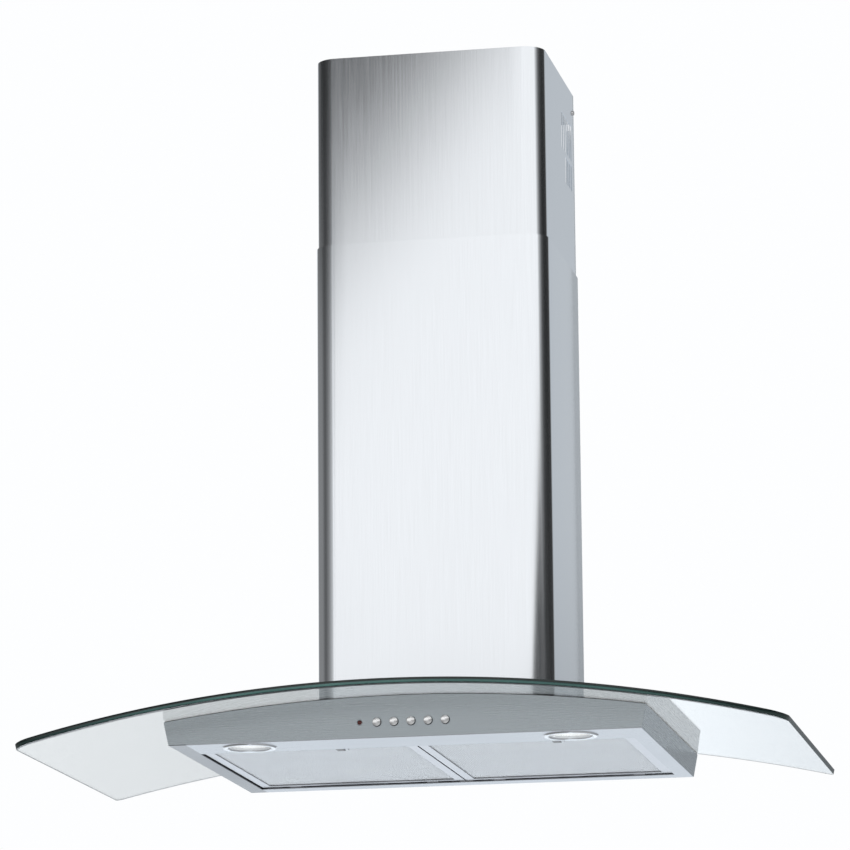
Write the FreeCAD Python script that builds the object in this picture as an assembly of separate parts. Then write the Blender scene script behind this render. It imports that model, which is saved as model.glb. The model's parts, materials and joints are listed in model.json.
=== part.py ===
"""Wall-mounted range hood with an arched glass canopy and a telescopic chimney.

Millimetres. X runs to the right seen from the front, Y runs back to the wall, Z runs up.
The origin is the middle of the two hanging holes, on the wall face of the motor box.
"""
import FreeCAD
import Part
import math
import os

Vector = FreeCAD.Vector
X_AXIS = Vector(1, 0, 0)
Y_AXIS = Vector(0, 1, 0)
Z_AXIS = Vector(0, 0, 1)

# Glass canopy
glass_width = 900.0
glass_depth = 500.0
glass_front_bow = 31.0
glass_thickness = 6.0
glass_arch_radius = 1920.0
glass_front_corner_radius = 22.0
glass_rear_corner_radius = 8.0
glass_throat_margin = 4.0

# Body under the glass
hanging_height = 250.0
body_side_rim = 20.0
body_crown_height = 49.0
side_lean_degrees = 11.0
front_lean_degrees = 5.8
body_sheet = 1.0
fascia_seam_gap = 0.8
edge_gasket_thickness = 1.0
edge_gasket_width = 9.0
edge_gasket_inset = 1.0
arch_seat_gap = 0.15
base_flange_height = 11.0
base_edge_radius = 0.7

# Filter opening and filters
opening_rear_rim = 26.0
filter_width = 254.0
filter_side_gap = 2.0
filter_depth = 309.0
filter_thickness = 9.0
filter_recess = 2.0
filter_front_gap = 1.5
filter_rear_gap = 1.5
filter_border = 11.0
filter_sheet = 1.0
mesh_sheet = 0.8
mesh_edge_inset = 2.0
mesh_columns = 3
mesh_rows = 4
mesh_hole_length_share = 0.80
mesh_hole_width_share = 0.62
filter_lug_width = 14.0
filter_lug_reach = 7.0
filter_lug_sheet = 1.2
filter_lug_spread_share = 0.34
filter_lug_lift = 0.3
filter_rail_width = 16.0
filter_rail_sheet = 1.2
filter_rail_foot = 9.0

# Filter latches
latch_offset = 36.0
latch_width = 9.0
latch_length = 22.0
latch_knob_thickness = 1.2
latch_tongue_width = 16.0
latch_tongue_thickness = 2.0
latch_travel = 5.0
latch_gap = 0.3
latch_stem_width = 5.0
latch_stem_length = 6.0
latch_pad_margin = 3.0
latch_tongue_lift = 1.5

# Lamps
lamp_side_inset = 88.0
lamp_front_margin = 4.0
lamp_rear_margin = 6.0
lamp_ring_radius = 32.0
lamp_ring_flange = 5.0
lamp_ring_drop = 1.6
lamp_ring_sheet = 0.6
lamp_housing_height = 27.0
lamp_housing_wall = 1.2
lamp_glass_thickness = 3.0
lamp_glass_gap = 0.2
lamp_bulb_radius = 5.0
lamp_bulb_length = 12.0
lamp_socket_radius = 8.0
lamp_socket_height = 6.0
dome_steps = 3

# Controls on the fascia
control_pitch = 20.0
control_height = 18.3
button_radius = 5.0
button_proud = 3.5
button_clearance = 0.4
button_cap_length = 6.5
button_dome_height = 1.6
button_stem_radius = 2.5
button_stem_length = 12.0
button_count = 5
indicator_radius = 3.2
indicator_proud = 1.0
indicator_length = 9.0
indicator_gap = 0.2
switch_block_gap = 7.0
switch_block_depth = 20.0
switch_block_height = 20.0
switch_block_end = 9.0
switch_bore_depth = 14.0
switch_bore_clearance = 0.5
switch_post_radius = 3.0
switch_ear_length = 8.0
board_thickness = 1.6
board_overhang = 3.0
transformer_switch_gap = 1.0
transformer_lamp_gap = 3.0
transformer_depth = 42.0
transformer_height = 26.0
transformer_foot = 8.0
transformer_foot_sheet = 1.5

# Motor box
box_side_room = 72.0
box_sheet = 1.2
box_gasket_thickness = 2.0
throat_side_rim = 17.0
throat_end_rim = 21.0
throat_corner_radius = 8.0
hanging_hole_inset = 48.0
hanging_hole_radius = 4.5
locking_hole_inset = 28.0
locking_hole_radius = 3.0
locking_hole_rise = 75.0
cover_flange = 8.0
cover_flange_gap = 0.2
cover_screw_inset = 5.0
cover_screw_count = 2
ear_height = 40.0
ear_rise = 8.0
ear_overlap = 8.0
gland_radius = 7.0
gland_bore_radius = 4.0
gland_gap = 0.2
gland_length = 16.0
gland_nut_radius = 10.0
gland_nut_height = 4.0
gland_side_inset = 26.0
gland_rear_inset = 24.0

# Clamp screws between the motor box, the glass and the body
clamp_screw_radius = 2.9
clamp_hole_radius = 3.2
clamp_bush_radius = 5.5
clamp_side_inset = 8.5
clamp_end_inset = 14.2
clamp_head_height = 2.9
clamp_head_radius = 5.8
clamp_tail = 8.0
clamp_nut_radius = 5.5
clamp_nut_height = 4.0
nut_sides = 6

# Fan
impeller_radius = 75.0
impeller_width = 96.0
impeller_ring_sheet = 1.5
impeller_disc_sheet = 2.0
impeller_hub_radius = 11.0
impeller_hub_length = 20.0
blade_count = 34
blade_depth = 13.0
blade_sheet = 0.9
blade_end_inset = 0.5
blade_tip_degrees = 8.0
blade_curl_power = 3
blade_steps = 2
shaft_radius = 4.0
shaft_length = 76.0
shaft_running_gap = 0.05
shaft_front_reach = 16.0
hub_nut_radius = 7.0
hub_nut_height = 5.0
motor_radius = 42.0
motor_length = 48.0
motor_shoulder_radius = 30.0
motor_shoulder_length = 5.0
motor_boss_radius = 12.0
motor_boss_length = 2.5
motor_front_gap = 13.0
motor_edge_radius = 4.0
bracket_arm_count = 3
bracket_arm_width = 11.0
bracket_arm_sheet = 3.0
bracket_hub_radius = 24.0
bracket_foot = 9.0
scroll_wall = 2.0
scroll_side_gap = 8.0
scroll_tongue_gap = 7.0
scroll_exit_gap = 37.0
scroll_rear_relief = 2.0
scroll_floor_room = 3.0
scroll_front_gap = 0.8
scroll_tongue_degrees = 110.0
scroll_exit_degrees = 180.0
scroll_arcs = 4
scroll_outlet_margin = 10.0
scroll_inlet_lip = 6.0
capacitor_radius = 15.0
capacitor_length = 52.0
terminal_width = 46.0
terminal_height = 62.0
terminal_depth = 30.0
terminal_lid = 2.0

# Outlet collar and its flaps
collar_radius = 75.0
collar_wall = 2.0
collar_height = 45.0
collar_front_shift = 8.0
collar_flange_width = 9.0
collar_flange_sheet = 2.0
collar_hole_gap = 1.0
collar_neck_height = 6.0
collar_neck_relief = 0.5
outlet_hopper_height = 35.8
outlet_side_steps = 4
flap_rise = 8.0
flap_sheet = 1.2
flap_gap = 1.5
flap_barrel_radius = 2.8
flap_barrel_end_gap = 7.0
flap_pin_radius = 2.0
flap_pin_gap = 0.05
flap_pin_offset = 3.6
flap_ledge_width = 3.5
flap_ledge_sheet = 1.5
flap_ledge_drop = 0.3
flap_ledge_notch = 7.0

# Chimney
chimney_side_room = 14.0
chimney_front_room = 6.0
chimney_sheet = 0.8
chimney_clearance = 1.0
chimney_corner_radius = 26.0
chimney_top_height = 870.0
chimney_joint_height = 634.0
chimney_upper_length = 540.0
chimney_flange = 10.0
chimney_seat_gap = 0.3
vent_slot_width = 7.0
vent_slot_pitch = 13.0
vent_slot_rear = 22.0
vent_upper_base_drop = 91.0
vent_upper_height = 46.0
vent_upper_count = 6
vent_lower_base_drop = 130.0
vent_lower_height = 33.0
vent_lower_count = 4
wall_bracket_height = 24.0
wall_bracket_drop = 12.0
wall_bracket_sheet = 1.5
wall_bracket_ear = 20.0
wall_bracket_gap = 0.3
wall_bracket_hole_inset = 42.0
wall_bracket_hole_radius = 3.0
wall_bracket_screw_setback = 8.0
flange_cutback = 45.0

# Small screws
screw_head_radius = 3.2
screw_head_height = 2.2
screw_radius = 1.6
screw_hole_radius = 1.8
screw_length = 6.0

# Margin of every cut, and the share of a size within which an edge counts as found
overrun = 10.0
near_share = 0.01

# Sizes that follow from the filters and the lamps
opening_width = 2 * filter_width + 3 * filter_side_gap
opening_depth = filter_front_gap + filter_depth + filter_rear_gap
body_width = opening_width + 2 * body_side_rim
body_front_shelf = lamp_front_margin + 2 * lamp_ring_radius + lamp_rear_margin
body_depth = opening_rear_rim + opening_depth + body_front_shelf
lamp_spacing = body_width - 2 * lamp_side_inset
lamp_setback = lamp_front_margin + lamp_ring_radius
lamp_housing_radius = lamp_ring_radius - lamp_ring_flange
lamp_sleeve_radius = lamp_housing_radius - lamp_housing_wall - lamp_glass_gap
lamp_bore_radius = lamp_sleeve_radius - lamp_ring_sheet
switch_reach = button_count * control_pitch / 2 + switch_block_end + switch_ear_length
transformer_near = switch_reach + transformer_switch_gap
transformer_far = lamp_spacing / 2 - lamp_ring_radius - transformer_lamp_gap

# Sizes that follow from the fan: its scroll, the box round it and the chimney round the box
impeller_inner_radius = impeller_radius - blade_depth
scroll_width = impeller_width + 2 * scroll_side_gap
scroll_tongue_radius = impeller_radius + scroll_tongue_gap
scroll_exit_radius = impeller_radius + scroll_exit_gap
scroll_outlet_rise = scroll_tongue_radius + scroll_outlet_margin
fan_rise = scroll_exit_radius + scroll_floor_room
fan_setback = scroll_exit_radius - scroll_rear_relief
collar_setback = fan_setback + collar_front_shift
box_width = scroll_width + 2 * box_side_room
box_depth = fan_setback + scroll_exit_radius + scroll_wall + scroll_front_gap + box_sheet
box_height = fan_rise + scroll_outlet_rise + outlet_hopper_height + collar_neck_height + box_sheet
throat_width = box_width - 2 * throat_side_rim
throat_depth = box_depth - 2 * throat_end_rim
hanging_hole_spacing = box_width - 2 * hanging_hole_inset
locking_hole_spacing = box_width - 2 * locking_hole_inset
chimney_width = box_width + 2 * chimney_side_room
chimney_depth = box_depth + chimney_front_room
wall_bracket_hole_spacing = chimney_width - 2 * wall_bracket_hole_inset

# Levels
body_bottom_z = -hanging_height
crown_z = body_bottom_z + body_crown_height
arch_centre_z = crown_z - glass_arch_radius
box_bottom_z = crown_z + glass_thickness + box_gasket_thickness
box_top_z = box_bottom_z + box_height
fan_z = box_bottom_z + fan_rise
fan_y = -fan_setback
scroll_top_z = fan_z + scroll_outlet_rise
flap_z = box_top_z + flap_rise
chimney_top_z = body_bottom_z + chimney_top_height
chimney_joint_z = body_bottom_z + chimney_joint_height
chimney_upper_bottom_z = chimney_top_z - chimney_upper_length
control_z = body_bottom_z + control_height

# Places in plan
throat_y = -box_depth / 2
opening_rear_y = -opening_rear_rim
filter_rear_y = opening_rear_y - filter_rear_gap
filter_front_y = filter_rear_y - filter_depth
opening_front_y = filter_front_y - filter_front_gap
filter_bottom_z = body_bottom_z + filter_recess
filter_top_z = filter_bottom_z + filter_thickness
base_top_z = body_bottom_z + body_sheet
lower_width = chimney_width + 2 * (chimney_clearance + chimney_sheet)
lower_depth = chimney_depth + chimney_clearance + chimney_sheet
upper_rear_y = -(chimney_sheet + chimney_clearance)
fascia_y = -(body_depth + control_height * math.tan(math.radians(front_lean_degrees)))
collar_y = -collar_setback
lamp_y = -(body_depth - lamp_setback)


def block(x0, x1, y0, y1, z0, z1):
    """Rectangular solid between two corners."""
    return Part.makeBox(x1 - x0, y1 - y0, z1 - z0, Vector(x0, y0, z0))


def rod(start, direction, radius, length):
    """Round solid from a start point."""
    return Part.makeCylinder(radius, length, start, direction)


def tube(start, direction, outer, inner, length):
    """Round sleeve from a start point."""
    return rod(start, direction, outer, length).cut(rod(start, direction, inner, length))


def prism(points, direction):
    """Solid swept from a flat polygon."""
    wire = Part.makePolygon(points + [points[0]])
    return Part.Face(wire).extrude(direction)


def hexagon(start, direction, radius, height):
    """Nut blank with its corners on the given radius."""
    flat = Part.makeCircle(radius, start, direction)
    corners = flat.discretize(Number=nut_sides + 1)
    return prism(corners[:-1], direction * height)


def turned(profile, start, axis):
    """Solid of revolution from (radius, travel) pairs, along an axis from a start point."""
    side = Z_AXIS if abs(axis.dot(Z_AXIS)) < abs(axis.dot(X_AXIS)) + abs(axis.dot(Y_AXIS)) else X_AXIS
    points = [start + side * radius + axis * travel for radius, travel in profile]
    wire = Part.makePolygon(points + [points[0]])
    return Part.Face(wire).revolve(start, axis, 360).removeSplitter()


def fused(pieces):
    """One solid from touching pieces."""
    return pieces[0].multiFuse(pieces[1:]).removeSplitter()


def dome(radius, height):
    """(radius, rise) pairs of a shallow cap, from its top to its rim."""
    turns = [math.pi / 2 * step / dome_steps for step in range(dome_steps + 1)]
    return [(radius * math.sin(turn), height * math.cos(turn)) for turn in turns]


def group(pieces):
    """Separate solids that share one node."""
    return Part.makeCompound(pieces)


def upright_edges(shape, places, reach):
    """Vertical edges of a shape that stand at the given places in plan."""
    found = []
    for edge in shape.Edges:
        start = edge.Vertexes[0].Point
        end = edge.Vertexes[-1].Point
        level = math.hypot(start.x - end.x, start.y - end.y)
        if level > reach:
            continue
        for x, y in places:
            if math.hypot(start.x - x, start.y - y) < reach:
                found.append(edge)
    return found


def rounded_block(x0, x1, y0, y1, z0, z1, front_radius, rear_radius):
    """Block with upright edges rounded at its front (low Y) and its rear (high Y)."""
    solid = block(x0, x1, y0, y1, z0, z1)
    near = min(x1 - x0, y1 - y0) * near_share
    solid = solid.makeFillet(front_radius, upright_edges(solid, [(x0, y0), (x1, y0)], near))
    if rear_radius > 0:
        solid = solid.makeFillet(rear_radius, upright_edges(solid, [(x0, y1), (x1, y1)], near))
    return solid


def under_arch(offset):
    """Everything below the glass underside raised by the offset."""
    start = Vector(0, -(glass_depth + overrun), arch_centre_z)
    return rod(start, Y_AXIS, glass_arch_radius + offset, glass_depth + 2 * overrun)


def arch_z(x):
    """Level of the glass underside at a place across."""
    return arch_centre_z + math.sqrt(glass_arch_radius ** 2 - x ** 2)


def arch_shell(low, high):
    """Curved sheet between two offsets from the glass underside."""
    return under_arch(high).cut(under_arch(low))


def leaning_block(side_inset, front_inset, rear_inset):
    """Solid with the body's leaning sides and front, drawn in by the insets."""
    wires = []
    for rise in (0, body_crown_height + overrun):
        half = body_width / 2 - side_inset + rise * math.tan(math.radians(side_lean_degrees))
        front = -(body_depth - front_inset + rise * math.tan(math.radians(front_lean_degrees)))
        z = body_bottom_z + rise
        corners = [Vector(-half, front, z), Vector(half, front, z)]
        corners += [Vector(half, -rear_inset, z), Vector(-half, -rear_inset, z)]
        wires.append(Part.makePolygon(corners + [corners[0]]))
    return Part.makeLoft(wires, True, True)


def above(z):
    """Wide slab that keeps what lies above a level."""
    reach = glass_width
    return block(-reach, reach, -reach, reach, z, z + reach)


def throat(margin, z0, z1):
    """Air way between the body and the motor box, widened by a margin."""
    half_x = throat_width / 2 + margin
    half_y = throat_depth / 2 + margin
    radius = throat_corner_radius + margin
    return rounded_block(-half_x, half_x, throat_y - half_y, throat_y + half_y, z0, z1, radius, radius)


def clamp_places():
    """Plan positions of the four clamp screws."""
    x = box_width / 2 - clamp_side_inset
    return [(side * x, y) for side in (-1, 1) for y in (-clamp_end_inset, clamp_end_inset - box_depth)]


def button_place(index):
    """X of a control, counted from the indicator lamp at 0."""
    return (index - button_count / 2) * control_pitch


def save(name, shape):
    """Write one node."""
    os.makedirs("parts", exist_ok=True)
    shape.exportStep("parts/" + name + ".step")


def make_glass():
    """Arched pane with a bowed front edge, the throat cut-out and four clamp holes."""
    half = glass_width / 2
    corner_y = -(glass_depth - glass_front_bow)
    low = arch_z(half) - overrun
    left = Vector(-half, corner_y, low)
    right = Vector(half, corner_y, low)
    rear_left = Vector(-half, 0, low)
    rear_right = Vector(half, 0, low)
    bow = Part.Arc(left, Vector(0, -glass_depth, low), right).toShape()
    edges = [bow, Part.makeLine(right, rear_right), Part.makeLine(rear_right, rear_left)]
    edges.append(Part.makeLine(rear_left, left))
    height = crown_z + glass_thickness + overrun - low
    plate = Part.Face(Part.Wire(edges)).extrude(Z_AXIS * height)
    near = half * near_share
    front = upright_edges(plate, [(-half, corner_y), (half, corner_y)], near)
    plate = plate.makeFillet(glass_front_corner_radius, front)
    rear = upright_edges(plate, [(-half, 0), (half, 0)], near)
    plate = plate.makeFillet(glass_rear_corner_radius, rear)
    pane = plate.common(arch_shell(0, glass_thickness))
    pane = pane.cut(throat(glass_throat_margin, low, low + height))
    for x, y in clamp_places():
        pane = pane.cut(rod(Vector(x, y, low), Z_AXIS, clamp_bush_radius, height))
    save("glass_canopy", pane)


def make_glass_fixings():
    """Edge gasket, box gasket, bushes, clamp screws and nuts that hold the pane."""
    inner = edge_gasket_inset + edge_gasket_width
    strip = leaning_block(edge_gasket_inset, edge_gasket_inset, edge_gasket_inset)
    strip = strip.cut(leaning_block(inner, inner, inner))
    strip = strip.common(arch_shell(arch_seat_gap - edge_gasket_thickness, -arch_seat_gap))

    half = box_width / 2 - edge_gasket_inset
    low = crown_z - overrun
    pad = block(-half, half, edge_gasket_inset - box_depth, -edge_gasket_inset, low, box_bottom_z)
    pad = pad.cut(under_arch(glass_thickness + arch_seat_gap)).cut(throat(0, low, box_bottom_z))
    bushes = []
    screws = []
    nuts = []
    head_z = box_bottom_z + box_sheet
    for x, y in clamp_places():
        hole = rod(Vector(x, y, low), Z_AXIS, clamp_hole_radius, box_bottom_z - low)
        pad = pad.cut(hole)
        strip = strip.cut(hole)
        bush_z = arch_z(abs(x) - clamp_bush_radius)
        bush_top = arch_z(abs(x) + clamp_bush_radius) + glass_thickness
        bush_radius = clamp_bush_radius - arch_seat_gap
        bushes.append(tube(Vector(x, y, bush_z), Z_AXIS, bush_radius, clamp_hole_radius, bush_top - bush_z))
        roof = arch_z(abs(x) + clamp_nut_radius) - edge_gasket_thickness - body_sheet
        nut_z = roof - clamp_nut_height
        tail_z = nut_z - (clamp_tail - clamp_nut_height)
        shank = rod(Vector(x, y, tail_z), Z_AXIS, clamp_screw_radius, head_z - tail_z)
        head = rod(Vector(x, y, head_z), Z_AXIS, clamp_head_radius, clamp_head_height)
        screws.append(shank.fuse(head))
        nut = hexagon(Vector(x, y, nut_z), Z_AXIS, clamp_nut_radius, clamp_nut_height)
        nuts.append(nut.cut(rod(Vector(x, y, tail_z), Z_AXIS, clamp_hole_radius, clamp_tail * 2)))
    save("edge_gasket", strip)
    save("box_gasket", pad)
    save("glass_bushes", group(bushes))
    save("clamp_screws", group(screws))
    save("clamp_nuts", group(nuts))


def make_body():
    """Casing, fascia, curved cover and underside panel of the body."""
    outer = leaning_block(0, 0, 0)
    behind_front = leaning_block(-overrun, body_sheet, -overrun)
    inside = leaning_block(body_sheet, body_sheet, body_sheet)
    room = above(base_top_z).common(under_arch(-edge_gasket_thickness))
    behind_seam = leaning_block(-overrun, body_sheet + fascia_seam_gap, -overrun)
    casing = outer.common(behind_seam).cut(inside).common(room)
    save("canopy_casing", casing)

    fascia = outer.cut(behind_front).common(room)
    back = -body_depth
    for index in range(1, button_count + 1):
        start = Vector(button_place(index), back - overrun, control_z)
        fascia = fascia.cut(rod(start, Y_AXIS, button_radius + button_clearance, 2 * overrun))
    start = Vector(button_place(0), back - overrun, control_z)
    fascia = fascia.cut(rod(start, Y_AXIS, indicator_radius + indicator_gap, 2 * overrun))
    save("front_fascia", fascia)

    cover = inside.common(arch_shell(-edge_gasket_thickness - body_sheet, -edge_gasket_thickness))
    cover = cover.cut(throat(0, body_bottom_z, crown_z))
    for x, y in clamp_places():
        hole = rod(Vector(x, y, body_bottom_z), Z_AXIS, clamp_hole_radius, body_crown_height)
        cover = cover.cut(hole)
    save("canopy_cover", cover)


def make_base():
    """Underside panel with upturned edges, the filter opening and two lamp holes."""
    half = body_width / 2
    z0 = body_bottom_z
    plate = block(-half, half, -body_depth, 0, z0, base_top_z)
    low_edges = [edge for edge in plate.Edges if edge.BoundBox.ZMax < z0 + body_sheet / 2]
    plate = plate.makeFillet(base_edge_radius, low_edges)
    inset = body_sheet
    top = base_top_z + base_flange_height
    ring = block(inset - half, half - inset, inset - body_depth, -inset, base_top_z, top)
    inset = 2 * body_sheet
    ring = ring.cut(block(inset - half, half - inset, inset - body_depth, -inset, base_top_z, top))
    half = opening_width / 2
    sides = []
    for side in (-1, 1):
        near = min(side * half, side * (half + body_sheet))
        sides.append(block(near, near + body_sheet, opening_front_y, opening_rear_y, base_top_z, top))
    near = opening_front_y - body_sheet
    sides.append(block(-half - body_sheet, half + body_sheet, near, opening_front_y, base_top_z, top))
    base = fused([plate, ring] + sides)
    base = base.cut(block(-half, half, opening_front_y, opening_rear_y, z0 - overrun, top + overrun))
    for side in (-1, 1):
        start = Vector(side * lamp_spacing / 2, lamp_y, z0 - overrun)
        base = base.cut(rod(start, Z_AXIS, lamp_housing_radius, 2 * overrun))
    save("base_panel", base)

    half = filter_rail_width / 2
    low = base_top_z + base_flange_height
    high = low + filter_rail_sheet
    front = opening_front_y - body_sheet
    rear = opening_rear_y
    bar = block(-half, half, front - filter_rail_sheet, rear + filter_rail_sheet, low, high)
    legs = [block(-half, half, front - filter_rail_sheet, front, base_top_z, high)]
    legs.append(block(-half, half, rear, rear + filter_rail_sheet, base_top_z, high))
    toe = base_top_z + filter_rail_sheet
    legs.append(block(-half, half, front - filter_rail_foot, front, base_top_z, toe))
    legs.append(block(-half, half, rear, rear + filter_rail_foot, base_top_z, toe))
    save("filter_rail", fused([bar] + legs))


def make_lamp(name, side):
    """Recessed halogen lamp: housing cup, trim ring, glass and bulb."""
    x = side * lamp_spacing / 2
    z0 = body_bottom_z
    shoulder = base_top_z + lamp_ring_drop
    top = base_top_z + lamp_housing_height
    outer = lamp_housing_radius
    inner = outer - lamp_housing_wall
    ceiling = top - lamp_housing_wall
    start = Vector(x, lamp_y, z0)
    cup = rod(start, Z_AXIS, outer, top - z0).cut(rod(start, Z_AXIS, inner, ceiling - z0))
    lip_radius = outer + 2 * lamp_housing_wall
    lip = tube(Vector(x, lamp_y, base_top_z), Z_AXIS, lip_radius, inner, lamp_housing_wall)
    vents = []
    for turn in range(4):
        slot = block(-lamp_socket_radius / 2, lamp_socket_radius / 2, outer / 2, outer * 2,
                     top - lamp_socket_height, top + overrun)
        slot.rotate(Vector(0, 0, 0), Z_AXIS, 45 + 90 * turn)
        slot.translate(Vector(x, lamp_y, 0))
        vents.append(slot)
    save("lamp_housing_" + name, fused([cup, lip]).cut(group(vents)))

    bore = lamp_bore_radius
    sleeve = lamp_sleeve_radius
    profile = [(bore, z0 - lamp_ring_drop / 2), (bore + lamp_ring_drop, z0 - lamp_ring_drop)]
    profile += [(lamp_ring_radius - lamp_ring_drop, z0 - lamp_ring_drop)]
    profile += [(lamp_ring_radius, z0 - lamp_ring_drop / 2), (lamp_ring_radius, z0)]
    profile += [(sleeve, z0), (sleeve, shoulder), (bore, shoulder)]
    save("lamp_ring_" + name, turned(profile, Vector(x, lamp_y, 0), Z_AXIS))

    half = lamp_glass_thickness / 2
    profile = [(radius, shoulder - rise) for radius, rise in dome(bore - half, half)]
    profile += [(sleeve, shoulder), (sleeve, shoulder + half), (0, shoulder + half)]
    save("lamp_glass_" + name, turned(profile, Vector(x, lamp_y, 0), Z_AXIS))

    socket_z = ceiling - lamp_socket_height
    shoulder_z = socket_z - lamp_bulb_length + lamp_bulb_radius
    profile = [(radius, shoulder_z - rise) for radius, rise in dome(lamp_bulb_radius, lamp_bulb_radius)]
    profile += [(lamp_bulb_radius, socket_z), (lamp_socket_radius, socket_z)]
    profile += [(lamp_socket_radius, ceiling), (0, ceiling)]
    save("lamp_bulb_" + name, turned(profile, Vector(x, lamp_y, 0), Z_AXIS))


def make_controls():
    """Five push buttons, the indicator, the switch block, its board and the lamp transformer."""
    names = ["button_light", "button_off", "button_low", "button_medium", "button_high"]
    block_y = fascia_y + switch_block_gap
    cap_rear = button_cap_length - button_proud
    for index, name in enumerate(names, start=1):
        start = Vector(button_place(index), fascia_y, control_z)
        rim = button_dome_height - button_proud
        profile = [(radius, rim - rise) for radius, rise in dome(button_radius, button_dome_height)]
        profile += [(button_radius, cap_rear), (button_stem_radius, cap_rear)]
        profile += [(button_stem_radius, cap_rear + button_stem_length), (0, cap_rear + button_stem_length)]
        save(name, turned(profile, start, Y_AXIS))

    start = Vector(button_place(0), fascia_y, control_z)
    profile = [(radius, -rise) for radius, rise in dome(indicator_radius, indicator_proud)]
    profile += [(indicator_radius, indicator_length - indicator_proud)]
    profile += [(0, indicator_length - indicator_proud)]
    save("indicator_lamp", turned(profile, start, Y_AXIS))

    left = button_place(0) - switch_block_end
    right = button_place(button_count) + switch_block_end
    low = control_z - switch_block_height / 2
    high = control_z + switch_block_height / 2
    housing = block(left, right, block_y, block_y + switch_block_depth, low, high)
    pieces = [housing]
    for x in (left - switch_ear_length, right):
        ear = block(x, x + switch_ear_length, block_y, block_y + switch_post_radius, low, high)
        post_y = fascia_y + body_sheet * 2
        post = rod(Vector(x + switch_ear_length / 2, post_y, control_z), Y_AXIS,
                   switch_post_radius, block_y + switch_post_radius - post_y)
        pieces += [ear, post]
    housing = fused(pieces)
    for index in range(1, button_count + 1):
        start = Vector(button_place(index), block_y, control_z)
        radius = button_stem_radius + switch_bore_clearance
        housing = housing.cut(rod(start, Y_AXIS, radius, switch_bore_depth))
    start = Vector(button_place(0), block_y, control_z)
    pocket = indicator_length + indicator_gap - indicator_proud - switch_block_gap
    housing = housing.cut(rod(start, Y_AXIS, indicator_radius + indicator_gap, pocket))
    save("switch_block", housing)

    rear = block_y + switch_block_depth
    board = block(left - board_overhang, right + board_overhang, rear, rear + board_thickness,
                  low - board_overhang, high + board_overhang / 2)
    save("control_board", board)

    near = transformer_near + transformer_foot
    far = transformer_far - transformer_foot
    mid = (opening_front_y - body_sheet - body_depth + 2 * body_sheet) / 2
    core = block(near, far, mid - transformer_depth / 2, mid + transformer_depth / 2,
                 base_top_z, base_top_z + transformer_height)
    rim = [edge for edge in core.Edges if edge.BoundBox.ZMin > base_top_z + transformer_height / 2]
    core = core.makeChamfer(transformer_foot_sheet, rim)
    foot = block(transformer_near, transformer_far, mid - transformer_foot, mid + transformer_foot,
                 base_top_z, base_top_z + transformer_foot_sheet)
    save("lamp_transformer", fused([core, foot]))


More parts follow.
